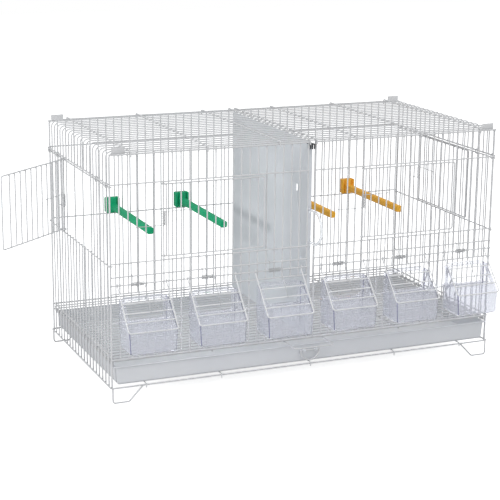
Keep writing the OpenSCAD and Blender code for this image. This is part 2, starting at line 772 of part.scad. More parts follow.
module feeder_cup_1() { feeder_cup(1); }
module feeder_cup_2() { feeder_cup(2); }
module feeder_cup_3() { feeder_cup(3); }
module feeder_cup_4() { feeder_cup(4); }
module feeder_cup_5() { feeder_cup(5); }
module feeder_cup_6() { feeder_cup(6); }
module feeder_flap_1() { feeder_flap(1); }
module feeder_flap_2() { feeder_flap(2); }
module feeder_flap_3() { feeder_flap(3); }
module feeder_flap_4() { feeder_flap(4); }
module feeder_flap_5() { feeder_flap(5); }
module feeder_flap_6() { feeder_flap(6); }
module flap_spring_1() { flap_spring(1); }
module flap_spring_2() { flap_spring(2); }
module flap_spring_3() { flap_spring(3); }
module flap_spring_4() { flap_spring(4); }
module flap_spring_5() { flap_spring(5); }
module flap_spring_6() { flap_spring(6); }

// ---- Doors ---------------------------------------------------------------

// A door drawn with its hinge wire on the z axis, reaching along +x, outer side at -y.
// Its uprights are an even step apart from a first place, and one more stands by the hinge.
module door(w, h, first, steps) {
    y = -door_plane;
    inner = y + wire_d + weld_gap;
    bent_wire([[0, y, 0], [w, y, 0], [w, y, h], [0, y, h]], wire_d, door_corner);
    for (z = [0, h])
        translate([0, 0, z]) rotate_extrude(angle = 240, start = 30)
            translate([door_plane, 0]) circle(d = wire_d);
    for (x = concat([hinge_side], [for (i = [1:steps]) first + i * upright_step]))
        wire([x, inner, -0.6], [x, inner, h + 0.6], wire_d);
}

// A door spring in the same place: a leg on the wall, the curls, and a leg on the door.
// turned is how far the door stands open.
function spin(p, a) = [p.x * cos(a) - p.y * sin(a), p.x * sin(a) + p.y * cos(a), p.z];
function door_coil(t, z0) = [door_coil_r * sin(360 * t), -door_coil_r * cos(360 * t),
                             z0 + door_pitch * t];
function door_spring_path(z0, wall_leg, wall_tip, door_leg, door_tip, turned) =
    let (turns = door_curls - turned / 360,
         n = round(turns * coil_steps),
         top = z0 + door_pitch * turns,
         y = -door_coil_r)
    concat([[-wall_leg, y + wall_tip, z0], [-wall_leg, y + 1.2, z0], [-wall_leg + 0.4, y + 0.35, z0],
            [-wall_leg + 1.4, y, z0], [-1.6, y, z0]],
           [for (i = [0:n]) door_coil(i * turns / n, z0)],
           [for (p = [[1.6, y, top], [door_leg - 1.4, y, top], [door_leg - 0.4, y + 0.35, top],
                      [door_leg, y + 1.2, top], [door_leg, y + door_tip, top]]) spin(p, -turned)]);
module door_spring(z0, wall_leg, wall_tip, door_leg, door_tip, turned = 0) {
    tube(door_spring_path(z0, wall_leg, wall_tip, door_leg, door_tip, turned), coil_wire, coil_sides);
}
echo(door_spring_self_gap_mm = self_gap([for (i = [0:63]) door_coil(i / coil_steps, 0)]));

beside_wire = wire_r + slide_gap + coil_r;
wall_tip = 4.6;
door_tip = 3.2;
front_hinge_x = [for (x0 = half_starts) x0 + door_span[0] * front_pitch];
side_hinge_y = side_span[1] * side_pitch;
front_spring_z = door_sill_z + 62;
side_spring_z = door_sill_z + 43;

module front_door(i) {
    home() color(coat) translate([front_hinge_x[i], 0, front_door_z]) door(front_door_w, door_h, 0, 11);
}

module front_door_spring(i) {
    home() color(coat) translate([front_hinge_x[i], 0, 0])
        door_spring(front_spring_z, 3 * front_pitch + beside_wire, wall_tip,
                    3 * upright_step + beside_wire, door_tip);
}

// The side doors' frame: outer side at -x, reaching towards the front
module on_left_wall() { translate([0, side_hinge_y, 0]) rotate([0, 0, -90]) children(); }

module left_side_door() {
    home() color(coat) on_left_wall() rotate([0, 0, -left_door_open])
        translate([0, 0, side_door_z]) door(side_door_w, side_door_h, hinge_side, 10);
}

module right_side_door() {
    home() color(coat) translate([cage_w, 0, 0]) mirror([1, 0, 0]) on_left_wall()
        translate([0, 0, side_door_z]) door(side_door_w, side_door_h, hinge_side, 10);
}

module side_spring(turned) {
    door_spring(side_spring_z, side_pitch + beside_wire, wall_tip,
                hinge_side + 3 * upright_step + beside_wire, door_tip, turned);
}

module left_door_spring() { home() color(coat) on_left_wall() side_spring(left_door_open); }

module right_door_spring() {
    home() color(coat) translate([cage_w, 0, 0]) mirror([1, 0, 0]) on_left_wall() side_spring(0);
}

module front_door_left() { front_door(0); }
module front_door_right() { front_door(1); }
module front_door_spring_left() { front_door_spring(0); }
module front_door_spring_right() { front_door_spring(1); }

// ---- Nodes ---------------------------------------------------------------

front_panel_left();
front_panel_right();
back_panel();
left_side_panel();
right_side_panel();
roof_panel();
base_rails();
tray_support_wires();
panel_clips();
stacking_tabs();
foot_front_left();
foot_front_right();
foot_back_left();
foot_back_right();
floor_grille();
tray();
tray_pull();
tray_pull_bracket();
divider_sheet();
divider_pull();
divider_catch();
perch_1();
perch_2();
perch_3();
perch_4();
perch_clamp_1();
perch_clamp_2();
perch_clamp_3();
perch_clamp_4();
feeder_cup_1();
feeder_cup_2();
feeder_cup_3();
feeder_cup_4();
feeder_cup_5();
feeder_cup_6();
feeder_flap_1();
feeder_flap_2();
feeder_flap_3();
feeder_flap_4();
feeder_flap_5();
feeder_flap_6();
flap_spring_1();
flap_spring_2();
flap_spring_3();
flap_spring_4();
flap_spring_5();
flap_spring_6();
front_door_left();
front_door_right();
left_side_door();
right_side_door();
front_door_spring_left();
front_door_spring_right();
left_door_spring();
right_door_spring();
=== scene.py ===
"""The looks of a canary breeding cage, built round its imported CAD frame.

The CAD wires stay as they are and get their coating. Their welds, the wound springs, the moulded
cups and perches, and the pressed sheet parts are made here. Meshes are drawn in the cage's own
millimetres: x from the left wall, y from the front wall, z from the middle of the bottom rails.
"""

import logging
import math
from collections.abc import Callable, Iterable, Sequence
from dataclasses import dataclass
from enum import Enum

import bmesh
import bpy
from mathutils import Matrix, Vector

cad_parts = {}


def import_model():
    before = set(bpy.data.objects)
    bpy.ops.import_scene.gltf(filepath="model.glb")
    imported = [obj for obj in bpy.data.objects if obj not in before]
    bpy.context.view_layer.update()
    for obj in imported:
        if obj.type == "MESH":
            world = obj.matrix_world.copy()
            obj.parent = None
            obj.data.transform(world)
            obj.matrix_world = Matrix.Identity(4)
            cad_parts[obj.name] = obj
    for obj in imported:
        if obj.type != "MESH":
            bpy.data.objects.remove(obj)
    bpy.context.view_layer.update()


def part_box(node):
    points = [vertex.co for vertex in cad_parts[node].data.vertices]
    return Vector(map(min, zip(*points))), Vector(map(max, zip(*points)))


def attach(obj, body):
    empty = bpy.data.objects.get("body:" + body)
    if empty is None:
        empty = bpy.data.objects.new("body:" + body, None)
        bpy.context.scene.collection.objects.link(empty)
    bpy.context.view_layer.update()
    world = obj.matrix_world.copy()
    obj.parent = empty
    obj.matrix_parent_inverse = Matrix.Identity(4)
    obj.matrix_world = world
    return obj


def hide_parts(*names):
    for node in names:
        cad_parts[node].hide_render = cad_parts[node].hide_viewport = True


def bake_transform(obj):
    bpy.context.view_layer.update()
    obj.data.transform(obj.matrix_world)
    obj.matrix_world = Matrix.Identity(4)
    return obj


BMesh = bmesh.types.BMesh
BMVert = bmesh.types.BMVert
BMEdge = bmesh.types.BMEdge
BMFace = bmesh.types.BMFace
Material = bpy.types.Material
NodeTree = bpy.types.ShaderNodeTree
Node = bpy.types.ShaderNode
Point = tuple[float, float, float]
Colour = tuple[float, float, float, float]

LOG = logging.getLogger("canary_cage")
# a cage millimetre in the frame's metres
MM = 0.001
# places closer than this, in millimetres, are merged
WELDED = 0.002
# lengths and places closer than this, in millimetres, count as the same
NEAR = 0.01
# the angle in degrees that leaves no edge sharp
EVERY_EDGE_SOFT = 180.0
INWARD = Vector((0, 1, 0))
WHITE: Colour = (1.0, 1.0, 1.0, 1.0)
# The materials made so far. The frame brings materials of its own, whose names may be the same.
MADE: dict[str, Material] = {}


# ---- Places and pieces -------------------------------------------------------


@dataclass
class Bench:
    """Where the cage's millimetres lie in the frame, and how a mesh becomes a piece."""

    corner: Vector
    width: float
    depth: float
    rail_lap: float = 1.0
    rail_radius: float = 1.5
    wire_radius: float = 1.2
    weld_gap: float = 0.04

    @classmethod
    def from_frame(cls) -> "Bench":
        """Reads the cage's corner and size off the bottom rails.

        Returns:
            A bench whose corner is the foot of the front left upright.
        """
        bench = cls(Vector(), 0.0, 0.0)
        low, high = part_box("base_rails")
        out = bench.rail_offset + bench.rail_radius
        inset = Vector((bench.rail_lap, out, bench.rail_radius)) * MM
        bench.corner = low + inset
        bench.width = round((high.x - low.x) / MM - 2 * bench.rail_lap, 2)
        bench.depth = round((high.y - low.y) / MM - 2 * out, 2)
        return bench

    @property
    def wire_offset(self) -> float:
        """How far a thin wire that crosses an upright lies from the upright's middle."""
        return 2 * self.wire_radius + self.weld_gap

    @property
    def rail_offset(self) -> float:
        """How far a rail that crosses an upright lies from the upright's middle."""
        return self.wire_radius + self.rail_radius + self.weld_gap

    @property
    def back_offset(self) -> float:
        """How far a plate on the back wall's uprights lies from their middle."""
        return self.wire_radius + self.weld_gap

    @property
    def mirror(self) -> Matrix:
        """The matrix from a place on the left wall to the same place on the right wall."""
        across = Matrix.Translation((self.width, 0.0, 0.0))
        return across @ Matrix.Diagonal((-1.0, 1.0, 1.0, 1.0))

    @property
    def to_frame(self) -> Matrix:
        """The matrix from cage millimetres to frame metres."""
        return Matrix.Translation(self.corner) @ Matrix.Scale(MM, 4)

    def point(self, x: float, y: float, z: float) -> Vector:
        """A place in frame metres, from cage millimetres."""
        return self.to_frame @ Vector((x, y, z))

    def copy_of(self, node: str) -> BMesh:
        """A CAD node's own shape, ready to be finished.

        Args:
            node: the CAD node's name.

        Returns:
            Its mesh in cage millimetres, with loose triangles merged and flat ones joined.
        """
        bm = bmesh.new()
        bm.from_mesh(bpy.data.objects[node].data)
        bm.transform(self.to_frame.inverted())
        bmesh.ops.remove_doubles(bm, verts=bm.verts, dist=WELDED)
        flat = math.radians(0.5)
        bmesh.ops.dissolve_limit(bm, angle_limit=flat, verts=bm.verts, edges=bm.edges)
        return bm

    def put(
        self,
        bm: BMesh,
        name: str,
        finishes: Sequence["Surface"],
        body: str | None,
        stands_for: Sequence[str] = (),
        sharp_from: float = 35.0,
    ) -> bpy.types.Object:
        """Makes a drawn mesh a piece of the scene, and frees the mesh.

        Args:
            bm: the mesh, in cage millimetres.
            name: the piece's name.
            finishes: its finishes, in the order of the faces' material indices.
            body: the CAD body that it rides on, or None for a piece on no body.
            stands_for: the CAD nodes that it replaces.
            sharp_from: the angle in degrees from which an edge stays sharp.

        Returns:
            The piece's object.
        """
        soften(bm, sharp_from)
        bm.transform(self.to_frame)
        mesh = bpy.data.meshes.new(name)
        bm.to_mesh(mesh)
        bm.free()
        for finish in finishes:
            mesh.materials.append(finish.material())
        piece = bpy.data.objects.new(name, mesh)
        bpy.context.scene.collection.objects.link(piece)
        if body:
            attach(piece, body)
        if stands_for:
            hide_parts(*stands_for)
        LOG.info("%s: %d faces", name, len(mesh.polygons))
        return piece

    def put_welds(self, bm: BMesh, name: str, finish: "Surface", body: str) -> None:
        """Makes drawn weld beads a piece of the scene.

        Args:
            bm: the beads, in cage millimetres.
            name: what they join; the piece is named after it.
            finish: their coating.
            body: the CAD body that they ride on.
        """
        self.put(bm, f"{name}_welds", [finish], body, sharp_from=EVERY_EDGE_SOFT)

    def dress(self, nodes: Iterable[str], finish: "Surface") -> None:
        """Gives CAD nodes a finish.

        Args:
            nodes: the nodes' names.
            finish: the finish for all their slots.
        """
        material = finish.material()
        for node in nodes:
            piece = bpy.data.objects[node]
            if not piece.material_slots:
                piece.data.materials.append(material)
            for place in piece.material_slots:
                place.material = material


# ---- Shaping -----------------------------------------------------------------


def soften(bm: BMesh, sharp_from: float) -> None:
    """Shades a mesh smooth but for its sharp edges.

    Args:
        bm: the mesh.
        sharp_from: the angle in degrees from which an edge stays sharp.
    """
    for face in bm.faces:
        face.smooth = True
    for edge in bm.edges:
        edge.smooth = edge.calc_face_angle(math.pi) < math.radians(sharp_from)


def round_edges(
    bm: BMesh,
    width: float,
    segments: int = 2,
    chosen: Callable[[BMEdge], bool] = lambda edge: True,
    sharper_than: float = 40.0,
    held_back: bool = True,
) -> list[BMFace]:
    """Rounds a mesh's sharp edges.

    Args:
        bm: the mesh.
        width: how far the rounding reaches from the edge.
        segments: how many faces go round it.
        chosen: which of the sharp edges are rounded.
        sharper_than: the angle in degrees that counts as sharp.
        held_back: whether short edges nearby hold the rounding back.

    Returns:
        The faces that the rounding made.
    """
    edges = [
        edge
        for edge in bm.edges
        if edge.is_manifold
        and edge.calc_face_angle(0.0) > math.radians(sharper_than)
        and chosen(edge)
    ]
    made = bmesh.ops.bevel(
        bm,
        geom=edges,
        offset=width,
        offset_type="OFFSET",
        segments=segments,
        profile=0.5,
        affect="EDGES",
        material=-1,
        clamp_overlap=held_back,
        loop_slide=True,
    )
    return made["faces"]


def runs_along(edge: BMEdge, axis: Vector) -> bool:
    """Whether an edge is parallel to an axis."""
    way = edge.verts[1].co - edge.verts[0].co
    return way.length > 0 and abs(way.normalized().dot(axis)) > 0.999


def block(
    bm: BMesh, low: Point | Vector, high: Point | Vector
) -> list[BMVert]:
    """Adds a block between two corners.

    Args:
        bm: the mesh to add it to.
        low: its lowest corner.
        high: its highest corner.

    Returns:
        Its vertices.
    """
    a, b = Vector(low), Vector(high)
    place = Matrix.Translation((a + b) / 2) @ Matrix.Diagonal((*(b - a), 1.0))
    return bmesh.ops.create_cube(bm, size=1.0, matrix=place)["verts"]


def push(bm: BMesh, extruded: dict[str, list], way: Point) -> None:
    """Moves what an extrusion made.

    Args:
        bm: the mesh.
        extruded: the extrusion's own answer.
        way: how far and which way its new vertices go.
    """
    moved = [item for item in extruded["geom"] if isinstance(item, BMVert)]
    bmesh.ops.translate(bm, verts=moved, vec=way)


def outline(bm: BMesh, points: Iterable[Point], way: Point) -> None:
    """Adds a flat outline and pushes it out into a solid.

    Args:
        bm: the mesh to add it to.
        points: the outline's corners, in order.
        way: how far and which way it is extruded.
    """
    face = bm.faces.new([bm.verts.new(p) for p in points])
    push(bm, bmesh.ops.extrude_face_region(bm, geom=[face], use_keep_orig=True), way)


def tube(points: Sequence[Vector], radius: float, sides: int = 12) -> BMesh:
    """One unbroken round rod through a list of points.

    Args:
        points: the rod's middle line.
        radius: the rod's radius.
        sides: how many faces go round it, a multiple of four.

    Returns:
        Its mesh, with closed ends.
    """
    curve = bpy.data.curves.new("rod", "CURVE")
    curve.dimensions = "3D"
    curve.bevel_depth = radius
    curve.bevel_resolution = sides // 4 - 1
    curve.use_fill_caps = True
    spline = curve.splines.new("POLY")
    spline.points.add(len(points) - 1)
    for place, point in zip(spline.points, points):
        place.co = (*point, 1.0)
    holder = bpy.data.objects.new("rod", curve)
    mesh = bpy.data.meshes.new_from_object(holder)
    bm = bmesh.new()
    bm.from_mesh(mesh)
    bpy.data.objects.remove(holder)
    bpy.data.curves.remove(curve)
    bpy.data.meshes.remove(mesh)
    bmesh.ops.remove_doubles(bm, verts=bm.verts, dist=WELDED / 2)
    bmesh.ops.recalc_face_normals(bm, faces=bm.faces)
    return bm


def face_outwards(bm: BMesh, verts: Iterable[BMVert]) -> None:
    """Turns the faces of some vertices outwards.

    Args:
        bm: the mesh.
        verts: the vertices of one closed shape in it.
    """
    faces = {face for vert in verts for face in vert.link_faces}
    bmesh.ops.recalc_face_normals(bm, faces=list(faces))


def turned(
    bm: BMesh,
    profile: Sequence[tuple[float, float]],
    base: Vector,
    axis: Vector,
    steps: int = 32,
) -> None:
    """Turns a profile round an axis, as on a lathe.

    Args:
        bm: the mesh to add it to.
        profile: pairs of distance along the axis and radius, from one closed end to the other.
        base: the axis's starting point.
        axis: the axis's unit direction.
        steps: how many faces go round.
    """
    side = axis.orthogonal().normalized()
    line = [bm.verts.new(base + axis * along + side * out) for along, out in profile]
    edges = [bm.edges.new(pair) for pair in zip(line, line[1:])]
    before = set(bm.verts) - set(line)
    bmesh.ops.spin(
        bm,
        geom=line + edges,
        cent=base,
        axis=axis,
        angle=2 * math.pi,
        steps=steps,
        use_merge=True,
    )
    made = [vert for vert in bm.verts if vert not in before]
    bmesh.ops.remove_doubles(bm, verts=made, dist=WELDED / 2)
    face_outwards(bm, [vert for vert in bm.verts if vert not in before])


class Facing(Enum):
    """The direction in which two crossing wires lie on each other, as a bead's flattening."""

    X = (0.6, 1.0, 1.0)
    Y = (1.0, 0.6, 1.0)
    Z = (1.0, 1.0, 0.6)
    ALL_ROUND = (1.0, 1.0, 1.0)


def weld(
    bm: BMesh, at: Point | Vector, facing: Facing, reach: float = 1.5
) -> None:
    """Adds the coated bead that a spot weld leaves between two crossing wires.

    Args:
        bm: the mesh to add it to.
        at: where the wires touch.
        facing: the direction from one wire to the other.
        reach: how far the bead goes along the wires.
    """
    place = Matrix.Translation(at) @ Matrix.Diagonal((*facing.value, 1.0))
    bmesh.ops.create_icosphere(bm, subdivisions=1, radius=reach, matrix=place)


# ---- Finishes ----------------------------------------------------------------


def fill_in(node: Node, values: dict[str, float | Colour]) -> None:
    """Sets some of a shader node's inputs."""
    for socket, value in values.items():
        node.inputs[socket].default_value = value


def join(tree: NodeTree, links: Iterable[tuple[Node, str | int, Node, str | int]]) -> None:
    """Joins shader nodes.

    Args:
        tree: the nodes' tree.
        links: for each link, the node and socket that it leaves and those that it enters.
    """
    for start, out, end, into in links:
        tree.links.new(start.outputs[out], end.inputs[into])


class Tone:
    """The shader group that varies a finish over its surface."""

    NAME = "surface_tone"
    INPUTS = {
        "Colour": "NodeSocketColor",
        "Deep Colour": "NodeSocketColor",
        "Cloud Scale": "NodeSocketFloat",
        "Grain Scale": "NodeSocketFloat",
        "Grain Share": "NodeSocketFloat",
        "Smoothest": "NodeSocketFloat",
        "Roughest": "NodeSocketFloat",
    }
    OUTPUTS = {
        "Colour": "NodeSocketColor",
        "Roughness": "NodeSocketFloat",
        "Height": "NodeSocketFloat",
    }

    @classmethod
    def add(
        cls, tree: NodeTree, values: dict[str, float | Colour]
    ) -> Node:
        """Adds the group to a material.

        Args:
            tree: the material's nodes.
            values: what goes into the group.

        Returns:
            The group's node, which puts out a colour, a roughness and a height.
        """
        tone = tree.nodes.new("ShaderNodeGroup")
        tone.node_tree = bpy.data.node_groups.get(cls.NAME) or cls._build()
        fill_in(tone, values)
        return tone

    @classmethod
    def _build(cls) -> NodeTree:
        """Builds the group with its sockets.

        Returns:
            The group.
        """
        tree = bpy.data.node_groups.new(cls.NAME, "ShaderNodeTree")
        for way, sockets in (("INPUT", cls.INPUTS), ("OUTPUT", cls.OUTPUTS)):
            for name, kind in sockets.items():
                tree.interface.new_socket(name, in_out=way, socket_type=kind)
        cls._wire(tree)
        return tree

    @staticmethod
    def _wire(tree: NodeTree) -> None:
        """Adds and joins the group's nodes.

        Args:
            tree: the group, with its sockets made.
        """
        nodes = tree.nodes
        given = nodes.new("NodeGroupInput")
        put_out = nodes.new("NodeGroupOutput")
        place = nodes.new("ShaderNodeTexCoord")
        cloud = nodes.new("ShaderNodeTexNoise")
        fill_in(cloud, {"Detail": 3.0})
        grain = nodes.new("ShaderNodeTexNoise")
        fill_in(grain, {"Detail": 1.0})
        blend = nodes.new("ShaderNodeMix")
        blend.data_type = "FLOAT"
        steeper = nodes.new("ShaderNodeMapRange")
        fill_in(steeper, {"From Min": 0.35, "From Max": 0.65})
        colours = nodes.new("ShaderNodeMix")
        colours.data_type = "RGBA"
        rough = nodes.new("ShaderNodeMapRange")
        join(tree, (
            (place, "Object", cloud, "Vector"),
            (place, "Object", grain, "Vector"),
            (given, "Cloud Scale", cloud, "Scale"),
            (given, "Grain Scale", grain, "Scale"),
            (given, "Grain Share", blend, 0),
            (cloud, 0, blend, 2),
            (grain, 0, blend, 3),
            (blend, 0, steeper, "Value"),
            (steeper, 0, colours, 0),
            (given, "Colour", colours, 6),
            (given, "Deep Colour", colours, 7),
            (steeper, 0, rough, "Value"),
            (given, "Smoothest", rough, "To Min"),
            (given, "Roughest", rough, "To Max"),
            (colours, 2, put_out, "Colour"),
            (rough, 0, put_out, "Roughness"),
            (grain, 0, put_out, "Height"),
        ))


@dataclass(frozen=True)
class Surface:
    """What every finish has: a name, the name of a slot for it, and a material built once."""

    name: str
    slot: str
    colour: Colour

    def material(self) -> Material:
        """Builds the finish's material, or finds it.

        Returns:
            The material.
        """
        if self.name not in MADE:
            made = MADE[self.name] = bpy.data.materials.new(self.name)
            made.use_nodes = True
            self._build(made.node_tree)
        return MADE[self.name]

    def _build(self, tree: NodeTree) -> None:
        """Adds the finish's nodes to its new material."""
        raise NotImplementedError


@dataclass(frozen=True)
class Finish(Surface):
    """An opaque finish: a coating, an enamel or a moulded plastic."""

    deep: Colour
    smoothest: float
    roughest: float
    cloud_scale: float = 18.0
    grain_scale: float = 900.0
    grain_share: float = 0.35
    bump: float = 0.05
    bump_reach: float = 0.0002
    coat: float = 0.0
    coat_roughness: float = 0.2
    specular: float = 0.5

    def _build(self, tree: NodeTree) -> None:
        """Adds the finish's nodes to its new material.

        Args:
            tree: the material's nodes.
        """
        shader = tree.nodes["Principled BSDF"]
        fill_in(shader, {
            "Coat Weight": self.coat,
            "Coat Roughness": self.coat_roughness,
            "Specular IOR Level": self.specular,
        })
        tone = Tone.add(tree, {
            "Colour": self.colour,
            "Deep Colour": self.deep,
            "Cloud Scale": self.cloud_scale,
            "Grain Scale": self.grain_scale,
            "Grain Share": self.grain_share,
            "Smoothest": self.smoothest,
            "Roughest": self.roughest,
        })
        bump = tree.nodes.new("ShaderNodeBump")
        fill_in(bump, {"Strength": self.bump, "Distance": self.bump_reach})
        join(tree, (
            (tone, "Colour", shader, "Base Color"),
            (tone, "Roughness", shader, "Roughness"),
            (tone, "Height", bump, "Height"),
            (bump, "Normal", shader, "Normal"),
        ))


@dataclass(frozen=True)
class ClearFinish(Surface):
    """A clear moulded plastic that lets the lamps through."""

    shade: Colour
    clearness: float
    roughness: float
    index: float

    def _build(self, tree: NodeTree) -> None:
        """Adds the finish's nodes to its new material.

        Args:
            tree: the material's nodes.
        """
        shader = tree.nodes["Principled BSDF"]
        fill_in(shader, {
            "Base Color": self.colour,
            "Transmission Weight": self.clearness,
            "IOR": self.index,
        })
        tone = Tone.add(tree, {
            "Cloud Scale": 30.0,
            "Grain Scale": 400.0,
            "Grain Share": 0.3,
            "Smoothest": self.roughness,
            "Roughest": 2 * self.roughness,
        })
        through = tree.nodes.new("ShaderNodeBsdfTransparent")
        fill_in(through, {"Color": self.shade})
        ray = tree.nodes.new("ShaderNodeLightPath")
        choice = tree.nodes.new("ShaderNodeMixShader")
        join(tree, (
            (tone, "Roughness", shader, "Roughness"),
            (ray, "Is Shadow Ray", choice, "Fac"),
            (shader, "BSDF", choice, 1),
            (through, "BSDF", choice, 2),
            (choice, "Shader", tree.nodes["Material Output"], "Surface"),
        ))


COATED_WIRE = Finish(
    "wire_coating", "coated_wire",
    (0.70, 0.703, 0.71, 1.0),
    deep=(0.64, 0.643, 0.655, 1.0),
    smoothest=0.30, roughest=0.44, specular=0.35,
)
# A lighter copy of the wire coating, in the same slot: painted light on the flaps' wires and their
# welds.
FLAP_WIRE_PAINTED_LIGHT = Finish(
    "flap_coating_painted_light", "coated_wire",
    (0.82, 0.823, 0.83, 1.0),
    deep=(0.76, 0.765, 0.78, 1.0),
    smoothest=0.25, roughest=0.38, coat=0.15,
)
SPRING_WIRE = Finish(
    "spring_coating", "spring_wire",
    (0.60, 0.605, 0.61, 1.0),
    deep=(0.48, 0.485, 0.50, 1.0),
    smoothest=0.25, roughest=0.40, specular=0.4,
)
TRAY_ENAMEL = Finish(
    "tray_enamel", "painted_sheet",
    (0.76, 0.775, 0.80, 1.0),
    deep=(0.725, 0.742, 0.77, 1.0),
    smoothest=0.30, roughest=0.42,
    cloud_scale=6.0, grain_scale=1200.0, grain_share=0.2, specular=0.4,
)
# A lighter copy of the tray's enamel for the upward faces inside the tray: painted light on the
# tray's floor.
TRAY_FLOOR_PAINTED_LIGHT = Finish(
    "tray_floor_painted_light", "painted_sheet",
    (0.93, 0.945, 0.97, 1.0),
    deep=(0.89, 0.905, 0.935, 1.0),
    smoothest=0.34, roughest=0.46,
    cloud_scale=6.0, grain_scale=1200.0, grain_share=0.2, specular=0.4,
)
DIVIDER_ENAMEL = Finish(
    "divider_enamel", "divider_sheet",
    (0.80, 0.825, 0.86, 1.0),
    deep=(0.77, 0.80, 0.835, 1.0),
    smoothest=0.34, roughest=0.46,
    cloud_scale=5.0, grain_scale=1200.0, grain_share=0.2, specular=0.3,
)
GREEN_PLASTIC = Finish(
    "moulded_green", "green_plastic",
    (0.006, 0.45, 0.20, 1.0),
    deep=(0.004, 0.36, 0.155, 1.0),
    smoothest=0.36, roughest=0.50,
    cloud_scale=40.0, grain_scale=700.0, specular=0.25,
)
ORANGE_PLASTIC = Finish(
    "moulded_orange", "orange_plastic",
    (1.0, 0.52, 0.04, 1.0),
    deep=(0.98, 0.47, 0.03, 1.0),
    smoothest=0.36, roughest=0.50,
    cloud_scale=40.0, grain_scale=700.0, specular=0.5,
)
DARK_PLASTIC = Finish(
    "moulded_dark", "dark_catch",
    (0.045, 0.05, 0.055, 1.0),
    deep=(0.03, 0.033, 0.037, 1.0),
    smoothest=0.35, roughest=0.5,
    cloud_scale=50.0, grain_scale=800.0,
)
CUP_PLASTIC = ClearFinish(
    "cup_plastic", "feeder_cup",
    (0.80, 0.808, 0.84, 1.0),
    shade=(0.95, 0.95, 0.97, 1.0),
    clearness=0.82, roughness=0.015, index=1.04,
)
# A dark tint for the cups' rounded corners: painted shade for the dark lines that light bending
# through clear corners makes.
CUP_EDGE_PAINTED_SHADE = ClearFinish(
    "cup_edge_painted_shade", "feeder_cup",
    (0.14, 0.14, 0.28, 1.0),
    shade=(0.80, 0.80, 0.88, 1.0),
    clearness=0.5, roughness=0.05, index=1.04,
)
PULL_PLASTIC = ClearFinish(
    "pull_plastic", "clear_pull",
    (0.80, 0.81, 0.83, 1.0),
    shade=(0.90, 0.90, 0.92, 1.0),
    clearness=0.7, roughness=0.08, index=1.12,
)


# ---- Camera and studio -------------------------------------------------------


@dataclass(frozen=True)
class PhotoCamera:
    """The camera that the cage was seen through, solved against its corners."""

    place: Point = (-742.86, -2338.98, 877.23)
    yaw: float = 0.4052
    pitch: float = 0.2502
    roll: float = 0.0096
    focal_pixels: float = 1471.27
    picture_pixels: float = 500.0
    sensor: float = 36.0

    def build(self, bench: Bench) -> None:
        """Makes the camera and the scene's view of it.

        Args:
            bench: where the cage lies.
        """
        data = bpy.data.cameras.new("camera")
        data.sensor_width = self.sensor
        data.lens = self.focal_pixels / self.picture_pixels * self.sensor
        data.clip_end = 100.0
        camera = bpy.data.objects.new("camera", data)
        ahead = Vector(
            (
                math.sin(self.yaw) * math.cos(self.pitch),
                math.cos(self.yaw) * math.cos(self.pitch),
                -math.sin(self.pitch),
            )
        )
        level = Vector((math.cos(self.yaw), -math.sin(self.yaw), 0.0))
        right = (Matrix.Rotation(-self.roll, 3, ahead) @ level).normalized()
        up = right.cross(ahead)
        turn = Matrix((right, up, -ahead)).transposed().to_4x4()
        camera.matrix_world = Matrix.Translation(bench.point(*self.place)) @ turn
        bpy.context.scene.collection.objects.link(camera)
        bpy.context.scene.camera = camera


@dataclass(frozen=True)
class Lamp:
    """A soft square lamp."""

    name: str
    place: Point
    target: Point
    side: float
    watts: float

    def build(self) -> None:
        """Makes the lamp and points it."""
        data = bpy.data.lights.new(self.name, "AREA")
        data.shape = "SQUARE"
        data.size = self.side
        data.energy = self.watts
        lamp = bpy.data.objects.new(self.name, data)
        lamp.location = self.place
        way = Vector(self.target) - Vector(self.place)
        lamp.rotation_euler = way.to_track_quat("-Z", "Y").to_euler()
        bpy.context.scene.collection.objects.link(lamp)


